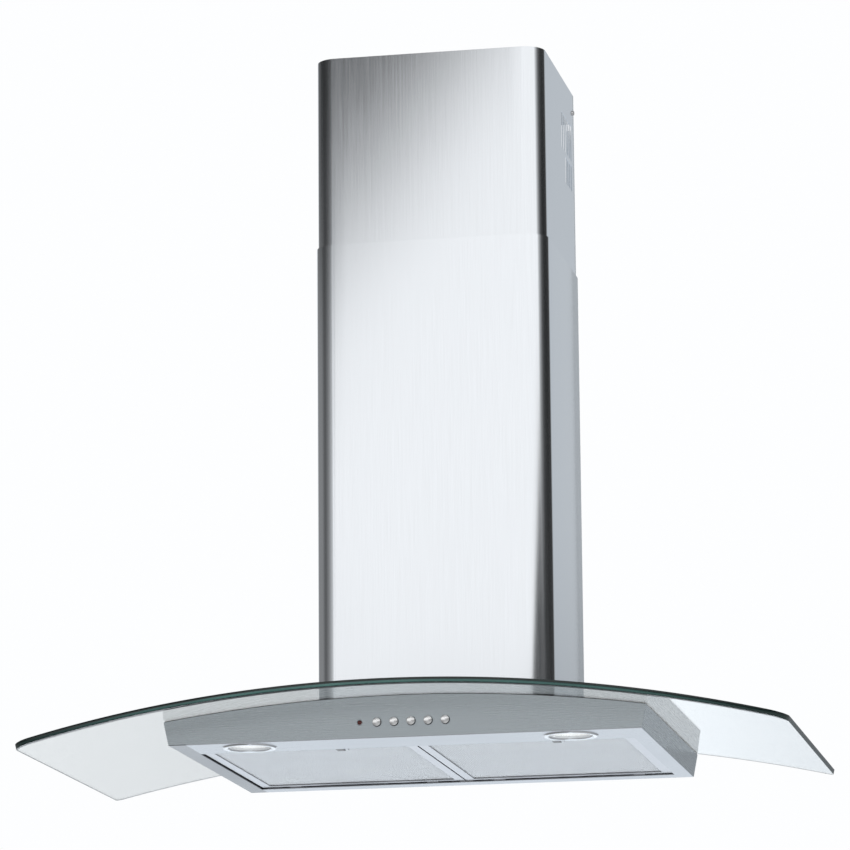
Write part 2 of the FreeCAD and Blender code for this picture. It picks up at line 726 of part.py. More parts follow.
def make_motor_box():
    """Steel box on the wall with its front cover, screws, cable gland and terminal box."""
    half = box_width / 2
    t = box_sheet
    shell = block(-half, half, t - box_depth, 0, box_bottom_z, box_top_z)
    shell = shell.cut(block(t - half, half - t, -box_depth, -t, box_bottom_z + t, box_top_z - t))
    ears = []
    ear_front = chimney_sheet + t
    for side in (-1, 1):
        inner = side * (half - ear_overlap)
        outer = side * chimney_width / 2
        low = box_bottom_z + ear_rise
        ears.append(block(min(inner, outer), max(inner, outer), -ear_front, -chimney_sheet,
                          low, low + ear_height))
    shell = fused([shell] + ears)
    shell = shell.cut(throat(0, box_bottom_z - t, box_bottom_z + 2 * t))
    for x, y in clamp_places():
        shell = shell.cut(rod(Vector(x, y, box_bottom_z - t), Z_AXIS, clamp_hole_radius, 3 * t))
    hole_z = box_top_z - 2 * t
    collar_hole = rod(Vector(0, collar_y, hole_z), Z_AXIS, collar_radius + collar_hole_gap, 3 * t)
    shell = shell.cut(collar_hole)
    gland_x = half - gland_side_inset
    gland_hole = rod(Vector(gland_x, -gland_rear_inset, hole_z), Z_AXIS, gland_radius + gland_gap, 3 * t)
    shell = shell.cut(gland_hole)
    for side in (-1, 1):
        x = side * hanging_hole_spacing / 2
        shell = shell.cut(rod(Vector(x, -2 * t, 0), Y_AXIS, hanging_hole_radius, 3 * t))
        x = side * locking_hole_spacing / 2
        z = box_bottom_z + locking_hole_rise
        shell = shell.cut(rod(Vector(x, -2 * t, z), Y_AXIS, locking_hole_radius, 3 * t))
    screw_z = box_bottom_z + ear_rise + ear_height / 4
    screws = []
    for side in (-1, 1):
        x = side * (lower_width / 2 - chimney_flange / 2)
        for z in (screw_z, screw_z + ear_height / 2):
            shell = shell.cut(rod(Vector(x, -ear_front - t, z), Y_AXIS, screw_hole_radius, 3 * t))
            screws.append(small_screw(Vector(x, -ear_front, z), Y_AXIS, ear_front))
    cover_holes = []
    cover_screws = []
    for side in (-1, 1):
        for index in range(cover_screw_count):
            z = box_bottom_z + box_height * (index + 0.5) / cover_screw_count
            seat = Vector(side * half, cover_screw_inset - box_depth, z)
            cover_holes.append(rod(seat, X_AXIS * -side, screw_hole_radius, 3 * t))
            cover_screws.append(small_screw(seat, X_AXIS * -side, 3 * t))
    cover_holes = group(cover_holes)
    save("motor_box", shell.cut(cover_holes))
    save("chimney_screws", group(screws))
    save("cover_screws", group(cover_screws))

    plate = block(-half, half, -box_depth, t - box_depth, box_bottom_z, box_top_z)
    inset = t + cover_flange_gap
    rim = block(inset - half, half - inset, t - box_depth, cover_flange - box_depth,
                box_bottom_z + inset, box_top_z - inset)
    inset += t
    rim = rim.cut(block(inset - half, half - inset, t - box_depth, cover_flange - box_depth,
                        box_bottom_z + inset, box_top_z - inset))
    save("motor_box_cover", fused([plate, rim]).cut(cover_holes))

    start = Vector(gland_x, -gland_rear_inset, box_top_z - gland_length / 2)
    gland = rod(start, Z_AXIS, gland_radius, gland_length)
    nuts = [hexagon(Vector(gland_x, -gland_rear_inset, z), Z_AXIS, gland_nut_radius, gland_nut_height)
            for z in (box_top_z, box_top_z - t - gland_nut_height)]
    gland = fused([gland] + nuts).cut(rod(start, Z_AXIS, gland_bore_radius, gland_length))
    save("cable_gland", gland)

    wall_x = half - t
    z0 = fan_z - terminal_height / 2
    case = block(wall_x - terminal_depth + terminal_lid, wall_x, -terminal_width - 2 * t, -2 * t,
                 z0, z0 + terminal_height)
    lid = block(wall_x - terminal_depth, wall_x - terminal_depth + terminal_lid,
                -terminal_width - 2 * t, -2 * t, z0, z0 + terminal_height)
    save("terminal_box", case)
    save("terminal_lid", lid)

    x = t - half + capacitor_radius
    y = t - box_depth + cover_flange + capacitor_radius
    can = rod(Vector(x, y, fan_z), Z_AXIS, capacitor_radius, capacitor_length)
    save("motor_capacitor", can)


def small_screw(seat, direction, grip):
    """Screw whose head stands outside its seat and whose shank runs along the direction."""
    head = rod(seat - direction * screw_head_height, direction, screw_head_radius, screw_head_height)
    return head.fuse(rod(seat, direction, screw_radius, grip))


def scroll_profile(extra, rise):
    """Spiral wall line of the fan scroll, moved outwards by the extra wall, as a flat face of arcs."""
    tongue_y = scroll_tongue_radius * math.cos(math.radians(scroll_tongue_degrees)) + extra
    first = math.degrees(math.acos(tongue_y / (scroll_tongue_radius + extra)))
    sweep = first + scroll_exit_degrees
    points = []
    steps = 2 * scroll_arcs
    for step in range(steps + 1):
        angle = math.radians(first - sweep * step / steps)
        growth = (scroll_exit_radius - scroll_tongue_radius) * step / steps
        radius = scroll_tongue_radius + growth + extra
        points.append(Vector(0, fan_y + radius * math.cos(angle), fan_z + radius * math.sin(angle)))
    edges = [Part.Arc(*points[step:step + 3]).toShape() for step in range(0, steps, 2)]
    top = scroll_top_z + rise
    front_top = Vector(0, points[-1].y, top)
    rear_top = Vector(0, points[0].y, top)
    edges += [Part.makeLine(points[-1], front_top), Part.makeLine(front_top, rear_top)]
    edges.append(Part.makeLine(rear_top, points[0]))
    return Part.Face(Part.Wire(edges))


def make_scroll():
    """Fan scroll in two halves that meet in the middle, each with a round inlet."""
    half = scroll_width / 2
    for name, side in (("left", -1), ("right", 1)):
        shell = scroll_profile(scroll_wall, 0).extrude(X_AXIS * side * half)
        cavity = scroll_profile(0, overrun).extrude(X_AXIS * side * (half - scroll_wall))
        start = Vector(0, fan_y, fan_z)
        inlet = rod(start, X_AXIS * side, impeller_inner_radius, scroll_width)
        lip_start = Vector(side * (half - scroll_wall), fan_y, fan_z)
        lip_radius = impeller_inner_radius + scroll_wall
        lip = rod(lip_start, X_AXIS * side, lip_radius, scroll_wall + scroll_inlet_lip)
        save("scroll_" + name, shell.cut(cavity).fuse(lip).cut(inlet).removeSplitter())


def blade_face(turn):
    """Section of one forward-curved blade, whose lead grows as a power of its depth."""
    inner = impeller_inner_radius + blade_end_inset
    outer = impeller_radius - blade_end_inset
    x = (impeller_ring_sheet - impeller_width) / 2
    lines = []
    for shift in (0, 2 * blade_sheet / (inner + outer)):
        line = []
        for step in range(blade_steps + 1):
            share = step / blade_steps
            radius = inner + (outer - inner) * share
            angle = math.radians(turn - blade_tip_degrees * share ** blade_curl_power) + shift
            line.append(Vector(x, fan_y + radius * math.cos(angle), fan_z + radius * math.sin(angle)))
        lines.append(line)
    near, far = lines
    corners = near + far[::-1]
    return Part.Face(Part.makePolygon(corners + [corners[0]]))


def make_impeller():
    """Double-inlet drum: a middle disc, two end rings and forward-curved blades."""
    half = impeller_width / 2
    centre = Vector(0, fan_y, fan_z)
    length = impeller_width - impeller_ring_sheet
    pieces = [blade_face(360 * index / blade_count).extrude(X_AXIS * length) for index in range(blade_count)]
    for x in (-half, half - impeller_ring_sheet):
        start = centre + X_AXIS * x
        pieces.append(tube(start, X_AXIS, impeller_radius, impeller_inner_radius, impeller_ring_sheet))
    start = centre - X_AXIS * impeller_disc_sheet / 2
    pieces.append(rod(start, X_AXIS, impeller_radius, impeller_disc_sheet))
    start = centre - X_AXIS * impeller_hub_length / 2
    pieces.append(rod(start, X_AXIS, impeller_hub_radius, impeller_hub_length))
    bore = shaft_radius + shaft_running_gap
    drum = fused(pieces).cut(rod(start, X_AXIS, bore, impeller_hub_length))
    save("impeller", drum)

    end = Vector(shaft_front_reach, fan_y, fan_z)
    save("motor_shaft", rod(end - X_AXIS * shaft_length, X_AXIS, shaft_radius, shaft_length))
    seat = centre + X_AXIS * impeller_hub_length / 2
    nut = hexagon(seat, X_AXIS, hub_nut_radius, hub_nut_height)
    save("hub_nut", nut.cut(rod(seat, X_AXIS, bore, hub_nut_height)))


def make_motor():
    """Fan motor inside the drum and the spider that carries it from the scroll."""
    front = -motor_front_gap
    rear = front - motor_length
    shoulder = motor_shoulder_length
    boss = motor_boss_length
    profile = [(0, rear), (motor_shoulder_radius, rear), (motor_shoulder_radius, rear + shoulder)]
    profile += [(motor_radius - motor_edge_radius, rear + shoulder)]
    profile += [(motor_radius, rear + shoulder + motor_edge_radius)]
    profile += [(motor_radius, front - shoulder - motor_edge_radius)]
    profile += [(motor_radius - motor_edge_radius, front - shoulder)]
    profile += [(motor_shoulder_radius, front - shoulder), (motor_shoulder_radius, front - boss)]
    profile += [(motor_boss_radius, front - boss), (motor_boss_radius, front), (0, front)]
    body = turned(profile, Vector(0, fan_y, fan_z), X_AXIS)
    start = Vector(shaft_front_reach - shaft_length, fan_y, fan_z)
    body = body.cut(rod(start, X_AXIS, shaft_radius + shaft_running_gap, shaft_length))
    save("fan_motor", body)

    wall_x = -scroll_width / 2
    low = min(rear, wall_x - scroll_inlet_lip) - bracket_arm_sheet
    hub = rod(Vector(low, fan_y, fan_z), X_AXIS, bracket_hub_radius, rear - low)
    reach = impeller_inner_radius + scroll_wall + bracket_foot + bracket_arm_sheet
    pieces = [hub]
    for index in range(bracket_arm_count):
        width = bracket_arm_width / 2
        arm = block(low, low + bracket_arm_sheet, -width, width, 0, reach)
        foot = block(low, wall_x, -width, width, reach - bracket_foot, reach)
        limb = arm.fuse(foot)
        limb.rotate(Vector(0, 0, 0), X_AXIS, 360 * index / bracket_arm_count)
        limb.translate(Vector(0, fan_y, fan_z))
        pieces.append(limb)
    spider = fused(pieces)
    start = Vector(low, fan_y, fan_z)
    spider = spider.cut(rod(start, X_AXIS, 2 * shaft_radius, rear - low))
    save("motor_bracket", spider)


def outline_points(corners):
    """Points spaced evenly along each side of a closed outline."""
    points = []
    for start, end in zip(corners, corners[1:] + corners[:1]):
        points += [start + (end - start) * (step / outlet_side_steps) for step in range(outlet_side_steps)]
    return points


def circle_points(centre, radius, count):
    """Points spaced evenly round a level circle, from its front left diagonal."""
    turns = [math.radians(225 + 360 * step / count) for step in range(count)]
    return [centre + Vector(radius * math.cos(turn), radius * math.sin(turn), 0) for turn in turns]


def outlet_loft(extra, low, high):
    """Passage from the scroll's rectangular mouth to the round collar."""
    half = scroll_width / 2 - scroll_wall + extra
    tongue_y = scroll_tongue_radius * math.cos(math.radians(scroll_tongue_degrees))
    front = fan_y - scroll_exit_radius - extra
    rear = fan_y + tongue_y + extra
    corners = [Vector(-half, front, low), Vector(half, front, low)]
    corners += [Vector(half, rear, low), Vector(-half, rear, low)]
    mouth = outline_points(corners)
    ring = circle_points(Vector(0, collar_y, high), collar_radius - collar_wall + extra, len(mouth))
    wires = [Part.makePolygon(points + [points[0]]) for points in (mouth, ring)]
    return Part.makeLoft(wires, True, True)


def make_collar():
    """Outlet adaptor with its spigot, flap ledge and pin holes, and the two non-return flaps."""
    neck_z = box_top_z - box_sheet - collar_neck_height
    inner = collar_radius - collar_wall
    neck_radius = collar_radius - collar_neck_relief
    hopper = outlet_loft(collar_wall, scroll_top_z, neck_z).cut(outlet_loft(0, scroll_top_z, neck_z))
    neck = tube(Vector(0, collar_y, neck_z), Z_AXIS, neck_radius, inner, box_top_z - neck_z)
    centre = Vector(0, collar_y, box_top_z)
    spigot = tube(centre, Z_AXIS, collar_radius, inner, collar_height)
    flange = tube(centre, Z_AXIS, collar_radius + collar_flange_width, inner, collar_flange_sheet)
    ledge_top = flap_z - flap_sheet / 2 - flap_ledge_drop
    centre = Vector(0, collar_y, ledge_top - flap_ledge_sheet)
    ledge_radius = inner + collar_wall / 2
    ledge = tube(centre, Z_AXIS, ledge_radius, inner - flap_ledge_width, flap_ledge_sheet)
    notch = flap_ledge_notch
    reach = collar_radius + overrun
    ledge = ledge.cut(block(-reach, reach, collar_y - notch, collar_y + notch,
                            ledge_top - 2 * flap_ledge_sheet, ledge_top + flap_ledge_sheet))
    collar = fused([hopper, neck, spigot, flange, ledge])
    hole = flap_pin_radius + flap_pin_gap
    for side in (-1, 1):
        start = Vector(-reach, collar_y + side * flap_pin_offset, flap_z)
        collar = collar.cut(rod(start, X_AXIS, hole, 2 * reach))
    save("outlet_collar", collar)

    for name, side in (("front", -1), ("rear", 1)):
        pin_y = collar_y + side * flap_pin_offset
        radius = inner - flap_gap
        disc = rod(Vector(0, collar_y, flap_z - flap_sheet / 2), Z_AXIS, radius, flap_sheet)
        far = collar_y + side * 2 * radius
        low = flap_z - flap_sheet
        high = flap_z + flap_sheet
        keep = block(-radius, radius, min(pin_y, far), max(pin_y, far), low, high)
        length = 2 * (inner - flap_barrel_end_gap)
        start = Vector(-length / 2, pin_y, flap_z)
        barrel = rod(start, X_AXIS, flap_barrel_radius, length)
        reach = math.sqrt(collar_radius ** 2 - flap_pin_offset ** 2) - flap_gap / 2
        pin = rod(Vector(-reach, pin_y, flap_z), X_AXIS, flap_pin_radius, 2 * reach)
        ends = block(-radius, radius, pin_y - notch, pin_y + notch, low, high)
        ends = ends.cut(block(-length / 2, length / 2, pin_y - notch, pin_y + notch, low, high))
        plate = disc.common(keep).cut(ends)
        save("flap_" + name, fused([plate, barrel, pin]))


def make_chimney():
    """Lower and upper chimney, the wall bracket and the bracket screws."""
    half = lower_width / 2
    t = chimney_sheet
    radius = chimney_corner_radius + chimney_clearance + t
    low = crown_z - overrun
    shell = rounded_block(-half, half, -lower_depth, 0, low, chimney_joint_z, radius, 0)
    hollow = rounded_block(t - half, half - t, t - lower_depth, -t, low, chimney_joint_z, radius - t, 0)
    gap = half - chimney_flange
    mouth = block(-gap, gap, -2 * t, t, low, chimney_joint_z)
    lower = shell.cut(hollow).cut(mouth).cut(under_arch(glass_thickness + chimney_seat_gap))
    screw_z = box_bottom_z + ear_rise + ear_height / 4
    for side in (-1, 1):
        for z in (screw_z, screw_z + ear_height / 2):
            start = Vector(side * (half - chimney_flange / 2), -2 * t, z)
            lower = lower.cut(rod(start, Y_AXIS, screw_hole_radius, 3 * t))
    save("chimney_lower", lower)

    half = chimney_width / 2
    radius = chimney_corner_radius
    low = chimney_upper_bottom_z
    top = chimney_top_z
    rear = upper_rear_y
    shell = rounded_block(-half, half, -chimney_depth, rear, low, top, radius, 0)
    hollow = rounded_block(t - half, half - t, t - chimney_depth, rear - t, low, top, radius - t, 0)
    gap = half - chimney_flange
    mouth = block(-gap, gap, rear - 2 * t, rear + t, low, top)
    cutback = block(t - half, half - t, rear - 2 * t, rear + t, top - flange_cutback, top)
    upper = shell.cut(hollow).cut(mouth).cut(cutback)
    slots = []
    rows = ((vent_upper_base_drop, vent_upper_height, vent_upper_count),
            (vent_lower_base_drop, vent_lower_height, vent_lower_count))
    reach = half + overrun
    for drop, height, count in rows:
        low = top - drop
        for index in range(count):
            y = rear - vent_slot_rear - index * vent_slot_pitch
            slots.append(block(-reach, reach, y - vent_slot_width, y, low, low + height))
    upper = upper.cut(group(slots))
    screw_y = rear - wall_bracket_screw_setback
    screw_z = top - wall_bracket_drop - wall_bracket_height / 2
    screw_way = rod(Vector(-reach, screw_y, screw_z), X_AXIS, screw_hole_radius, 2 * reach)
    save("chimney_upper", upper.cut(screw_way))

    plate_t = wall_bracket_sheet
    reach = half - t - wall_bracket_gap
    high = top - wall_bracket_drop
    low = high - wall_bracket_height
    bracket = [block(-reach, reach, -plate_t, 0, low, high)]
    for side in (-1, 1):
        inner = side * (reach - plate_t)
        outer = side * reach
        bracket.append(block(min(inner, outer), max(inner, outer), -wall_bracket_ear, 0, low, high))
    bracket = fused(bracket)
    for side in (-1, 1):
        start = Vector(side * wall_bracket_hole_spacing / 2, -2 * plate_t, screw_z)
        bracket = bracket.cut(rod(start, Y_AXIS, wall_bracket_hole_radius, 3 * plate_t))
    save("chimney_bracket", bracket.cut(screw_way))

    screws = []
    for side in (-1, 1):
        screws.append(small_screw(Vector(side * half, screw_y, screw_z), X_AXIS * -side, screw_length))
    save("bracket_screws", group(screws))


def make_filter(name, side):
    """Grease filter: a folded frame with lugs and a latch pad, two mesh sheets and the latch."""
    half = filter_width / 2
    centre = side * (half + filter_side_gap / 2)
    x0 = centre - half
    x1 = centre + half
    y0 = filter_front_y
    y1 = filter_rear_y
    z0 = filter_bottom_z
    z1 = filter_top_z
    t = filter_sheet
    b = filter_border
    latch_x = centre + latch_offset
    tongue_half = latch_tongue_width / 2 + latch_gap
    frame = block(x0, x1, y0, y1, z0, z1).cut(block(x0 + t, x1 - t, y0 + t, y1 - t, z0 + t, z1 - t))
    frame = frame.cut(block(x0 + b, x1 - b, y0 + b, y1 - b, z0 - t, z1 + t))
    pad_end = y0 + latch_length + latch_pad_margin
    pad_half = latch_width / 2 + latch_pad_margin
    pad = block(latch_x - pad_half, latch_x + pad_half, y0 + b, pad_end, z0, z0 + t)
    lugs = []
    for place in (-1, 1):
        x = centre + place * filter_lug_spread_share * filter_width
        lug_z = base_top_z + filter_lug_lift
        lugs.append(block(x - filter_lug_width / 2, x + filter_lug_width / 2, y1 - t,
                          y1 + filter_lug_reach, lug_z, lug_z + filter_lug_sheet))
        lugs.append(block(x - filter_lug_width / 2, x + filter_lug_width / 2, y1 - t, y1,
                          lug_z, z0 + t))
    frame = fused([frame, pad] + lugs)
    tongue_z = z0 + t + latch_tongue_lift
    window = block(latch_x - tongue_half, latch_x + tongue_half, y0 - t, y0 + 2 * t,
                   tongue_z - latch_gap, tongue_z + latch_tongue_thickness + latch_gap)
    stem_y = y0 + b / 2
    stem_half = latch_stem_width / 2 + latch_gap
    slot = block(latch_x - stem_half, latch_x + stem_half, stem_y - latch_gap,
                 stem_y + latch_stem_length + latch_travel + latch_gap, z0 - t, z0 + 2 * t)
    frame = frame.cut(window).cut(slot)
    save("filter_frame_" + name, frame)

    sheets = []
    inset = t + mesh_edge_inset
    wide = filter_width - 2 * b
    deep = filter_depth - 2 * b
    cell_x = wide / mesh_columns
    cell_y = deep / mesh_rows
    for low, first in ((z0 + t, 0), (z1 - t - mesh_sheet, 1)):
        sheet = block(x0 + inset, x1 - inset, y0 + inset, y1 - inset, low, low + mesh_sheet)
        holes = []
        for row in range(2 * mesh_rows - 1):
            offset = (row + first) % 2
            for column in range(mesh_columns - offset):
                x = x0 + b + (column + (1 + offset) / 2) * cell_x
                y = y0 + b + (row + 1) * cell_y / 2
                across = cell_x * mesh_hole_width_share / 2
                along = cell_y * mesh_hole_length_share / 2
                points = [Vector(x - across, y, low), Vector(x, y - along, low)]
                points += [Vector(x + across, y, low), Vector(x, y + along, low)]
                holes.append(prism(points, Z_AXIS * mesh_sheet))
        if first == 0:
            left = latch_x - pad_half - latch_gap
            right = latch_x + pad_half + latch_gap
            holes.append(block(left, right, y0, pad_end + latch_travel, low, low + mesh_sheet))
        sheets.append(sheet.cut(group(holes)))
    save("filter_mesh_" + name, group(sheets))

    knob_top = z0 - latch_gap
    knob = block(latch_x - latch_width / 2, latch_x + latch_width / 2, y0 + t,
                 y0 + t + latch_length - latch_travel, knob_top - latch_knob_thickness, knob_top)
    stem = block(latch_x - latch_stem_width / 2, latch_x + latch_stem_width / 2, stem_y,
                 stem_y + latch_stem_length, knob_top, tongue_z)
    tongue = block(latch_x - latch_tongue_width / 2, latch_x + latch_tongue_width / 2, y0,
                   y0 + latch_length - latch_travel, tongue_z, tongue_z + latch_tongue_thickness)
    save("filter_latch_" + name, fused([knob, stem, tongue]))


make_glass()
make_glass_fixings()
make_body()
make_base()
make_lamp("left", -1)
make_lamp("right", 1)
make_controls()
make_motor_box()
make_scroll()
make_impeller()
make_motor()
make_collar()
make_chimney()
make_filter("left", -1)
make_filter("right", 1)
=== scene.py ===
"""Looks of a wall-mounted range hood with an arched glass canopy and a telescopic chimney.

Metres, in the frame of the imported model: X to the right, Y back to the wall, Z up.
"""
import json
import math
from functools import reduce

import bmesh
import bpy
import numpy as np
from mathutils import Matrix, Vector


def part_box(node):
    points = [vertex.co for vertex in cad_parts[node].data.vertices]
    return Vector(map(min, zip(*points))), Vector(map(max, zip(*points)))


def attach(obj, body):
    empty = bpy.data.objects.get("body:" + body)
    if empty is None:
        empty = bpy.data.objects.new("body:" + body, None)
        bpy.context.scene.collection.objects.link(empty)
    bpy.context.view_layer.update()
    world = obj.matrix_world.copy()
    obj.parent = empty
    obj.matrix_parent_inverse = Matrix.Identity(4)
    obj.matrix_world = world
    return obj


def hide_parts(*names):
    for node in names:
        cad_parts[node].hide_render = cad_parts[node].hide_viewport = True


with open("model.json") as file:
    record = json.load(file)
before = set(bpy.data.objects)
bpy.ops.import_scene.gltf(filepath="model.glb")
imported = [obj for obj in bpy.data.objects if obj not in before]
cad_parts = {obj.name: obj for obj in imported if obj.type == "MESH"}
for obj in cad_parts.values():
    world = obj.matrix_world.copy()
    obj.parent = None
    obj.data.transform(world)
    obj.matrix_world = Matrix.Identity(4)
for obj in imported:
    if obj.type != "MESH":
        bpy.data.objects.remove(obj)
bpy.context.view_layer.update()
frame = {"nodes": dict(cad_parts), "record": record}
MM = 0.001
TAU = 2 * math.pi
FULL_TURN = 360
UP = (0, 0, 1)
BACK = (0, 1, 0)
WELD = 0.001 * MM
# Degrees beyond which an edge of a smooth piece stays crisp, and share of a side that a rounded corner may take
SHARP = 35.0
CORNER_SHARE = 0.49

# The photograph's point of view, from a fit of the hood's corners
VIEW_AZIMUTH = math.radians(11.279)
VIEW_ELEVATION = math.radians(-12.284)
VIEW_ROLL = math.radians(-0.504)
VIEW_DISTANCE = 5.7
VIEW_TARGET = np.array((-0.0132, -0.2, 0.1616))
VIEW_LENS = 199.8
VIEW_SENSOR = 36.0
VIEW_REACH = 100.0

# Sizes of the glass: half its width, its depth, the bow of its front edge, corners, arch radius and thickness. Its
# throat is the box gasket's outline less the inset.
GLASS_HALF = 450 * MM
GLASS_DEPTH = 500 * MM
GLASS_BOW = 31 * MM
GLASS_FRONT_CORNER = 22 * MM
GLASS_REAR_CORNER = 8 * MM
GLASS_ARCH = 1920 * MM
GLASS_SHEET = 6 * MM
GLASS_ARRIS = 0.9 * MM
THROAT_INSET = np.array((13, 17, 0)) * MM
# Points across half the glass: over the throat, from there to the corner, and round the corner
GLASS_COLUMNS = (14, 36, 20)
# Steps along its depth: up to the throat, over the throat, and behind it
GLASS_ROWS = (26, 14, 5)
GLASS_SHARP = 60.0
GLASS_ARRIS_ANGLE = 50.0
GLASS_INDEX = 1.5

# Sizes of the chimney sheets. The lower one's corners are larger by the step, and the upper one's rear returns end at
# the cutback. A row of vents is (drop of its foot below the top, height, number of slots).
CHIMNEY_SHEET = 0.8 * MM
CHIMNEY_CORNER = 26 * MM
CHIMNEY_STEP = 1.8 * MM
CHIMNEY_BEND = 1.4 * MM
CHIMNEY_RETURN = 10 * MM
CHIMNEY_CUTBACK = 45 * MM
CHIMNEY_FOOT_GAP = 0.3 * MM
CHIMNEY_LEVELS = 24
CHIMNEY_CORNER_POINTS = 25
CHIMNEY_HALF_POINTS = 9
VENT_WIDTH = 7 * MM
VENT_PITCH = 13 * MM
VENT_REAR = 22 * MM
VENT_ROWS = ((91 * MM, 46 * MM, 6), (130 * MM, 33 * MM, 4))
RETURN_PLANE = 0.3 * MM
DIGITS = 6

# Trim ring of a lamp: rim, slopes of its two edges, depths of its steps under the base, and neck
RING_RIM = 7 * MM
RING_SLOPE = 1.6 * MM
RING_INNER_STEP = 0.8 * MM
RING_OUTER_STEP = 0.3 * MM
RING_NECK = 6.4 * MM
RING_ROUNDING = 0.5 * MM
# Lamp lens: room in the ring, crown, edge height, and height and pitch of its ribs
LENS_ROOM = 1.2 * MM
LENS_CROWN = 1.2 * MM
LENS_EDGE = 1.5 * MM
LENS_RIB = 0.12 * MM
LENS_RIB_PITCH = 1.6 * MM
LENS_POINTS = 60

# Push buttons: dome of the cap, its shoulder, its length, and how much of its front is bright before the painted shade
# of its dark sides
BUTTON_CROWN = 0.45 * MM
BUTTON_CROWN_POWER = 2.2
BUTTON_RIM = 0.9 * MM
BUTTON_SHOULDER = 2.4 * MM
BUTTON_ROUNDING = 0.7 * MM
BUTTON_CAP = 6.5 * MM
BUTTON_PAINTED_SHADE_DEPTH = 1.0 * MM
BUTTON_POINTS = 14
BUTTONS = ("light", "off", "low", "medium", "high")

# Indicator lamp: lens, bore and lip as shares of the bezel's radius, and their heights
INDICATOR_LENS = 0.72
INDICATOR_BORE = 0.76
INDICATOR_LIP = 0.84
INDICATOR_DOME = 0.9 * MM
INDICATOR_LENS_EDGE = 2 * MM
INDICATOR_LIP_DEPTH = 0.5 * MM
INDICATOR_RIM_DEPTH = 1.0 * MM
INDICATOR_ROUNDING = 0.15 * MM
INDICATOR_POINTS = 12

# Expanded mesh: room in the frame, lozenge pitch, strand section, rows, and each layer's (height, shift in rows)
MESH_ROOM = 7.5 * MM
MESH_PITCH = 5.6 * MM
MESH_STRAND = 2.2 * MM
MESH_THICKNESS = 0.35 * MM
MESH_ROW = 3.1 * MM
MESH_SWING = 0.92
MESH_WAVE = 0.25 * MM
MESH_LAYERS = ((0.5 * MM, 0.0), (1.4 * MM, 0.5))

# Pan-head screws; the cross-shaped recess is given in shares of the head
SCREW_HEAD = 3.2 * MM
SCREW_RISE = 2.2 * MM
SCREW_SHANK = 1.6 * MM
SCREW_TAIL = 1.9 * MM
SCREW_FLAT = 0.86
SCREW_FLAT_POINTS = 15
SCREW_EDGE_POINTS = 7
SCREW_SPOKES = 72
SCREW_SHARP = 30.0
RECESS_REACH = 0.62
RECESS_HALF = 0.12
RECESS_WALL = 1.6
RECESS_DEPTH = 0.6

# Floor under the hood, seen from above only
FLOOR_DROP = 1.65
FLOOR_RADIUS = 9.0
FLOOR_RINGS = 19
FLOOR_SPOKES = 96

# Front panel: its place, its level, and the (from, to) of each fading edge. Its top edge leans by the slope, and its
# right edge is drawn in towards the foot.
PANEL_Y = -2.2
PANEL_X = (-1.1, 5.0)
PANEL_Z = (-0.2, 2.6)
PANEL_LEVEL = 1.04
PANEL_LEFT_FADE = (-1.05, -0.85)
PANEL_RIGHT_FADE = (5.0, 4.2)
PANEL_FOOT_FADE = (-0.05, 0.20)
PANEL_SLOPE = -1.5
PANEL_SLOPE_LEVEL = -1.76
PANEL_SLOPE_FADE = (0.22, -0.27)
PANEL_DRAW = -3.95
PANEL_DRAW_FADE = (-0.08, -0.36)

# Studio. Rises are degrees above the horizon and turns are degrees to the right of the front; a pair is the
# (from, to) of a smooth change. The lists give (degrees, level).
BACKDROP_LEVEL = 1.0
BACKDROP_COLOUR = (0.985, 0.992, 1.0)
ROOM_LEVEL = 0.44
GROUND_FRONT_LEVEL = 0.50
FRONT_RISE = (-7.0, 1.0)
FRONT_LEFT_TURN = (-18.5, -12.0)
FRONT_LEFT_SHARE = 0.55
# Band of dark walls above the horizon, by turn, with brighter fields in it on the left and the right
BAND_FOOT = (3.5, 7.0)
BAND_TOP = (24.0, 19.0)
DARK_SIDE = ((-150, 0.17), (-136, 0.15), (-118, 0.11), (-104, 0.04), (-90, 0.020), (-60, 0.018), (-44, 0.02),
             (-33, 0.02), (-23, 0.04), (0, 0.05), (40, 0.04), (60, 0.03), (86, 0.03), (98, 0.03), (114, 0.025),
             (138, 0.05), (150, 0.20))
RIGHT_GLOW = ((30, 0.0), (50, 0.40), (66, 0.85), (76, 0.42), (86, 0.12), (98, 0.045), (110, 0.0))
RIGHT_GLOW_FOOT = (10.5, 14.0)
LEFT_HAZE = ((-36, 0.0), (-31, 0.9), (-27, 1.1), (-20, 1.0), (-13, 1.0), (-5, 0.0))
LEFT_HAZE_TOP = (15.2, 13.7)
LEFT_EDGE = ((-150, 0.20), (-136, 0.25), (-95, 0.25), (-80, 0.13), (-70, 0.12), (-55, 0.24), (-44, 0.40),
             (-36, 0.6), (-30, 0.6), (-27, 0.0))
LEFT_EDGE_TOP = (14.6, 13.9)
# Rear of the studio, and its ground by rise; the ground is darker at the right rear
REAR_RIGHT_TURN = (140.0, 154.0)
REAR_LEFT_TURN = (-138.0, -150.0)
REAR_LOW_LEVEL = 0.28
REAR_HIGH_LEVEL = 0.53
REAR_RISE = (5.0, 11.5)
REAR_GROUND_RISE = (-3.5, 1.0)
REAR_COLOUR = (0.98, 1.045, 1.11)
GROUND_REAR = ((-90, 1.2), (-18, 1.2), (-15.2, 0.58), (-10.6, 0.58), (-9.4, 1.35), (-7, 1.35), (-5, 0.84),
               (-2, 0.76), (90, 0.76))
GROUND_RIGHT_LEVEL = 0.34
GROUND_RIGHT_TURN = (173.0, 179.0)
GROUND_LEFT_TURN = (-100.0, -140.0)

# Depths of the relief of brushed, cast and moulded skins
BRUSH_DEPTH = 0.02 * MM
CAST_DEPTH = 0.03 * MM
MOULD_DEPTH = 0.05 * MM

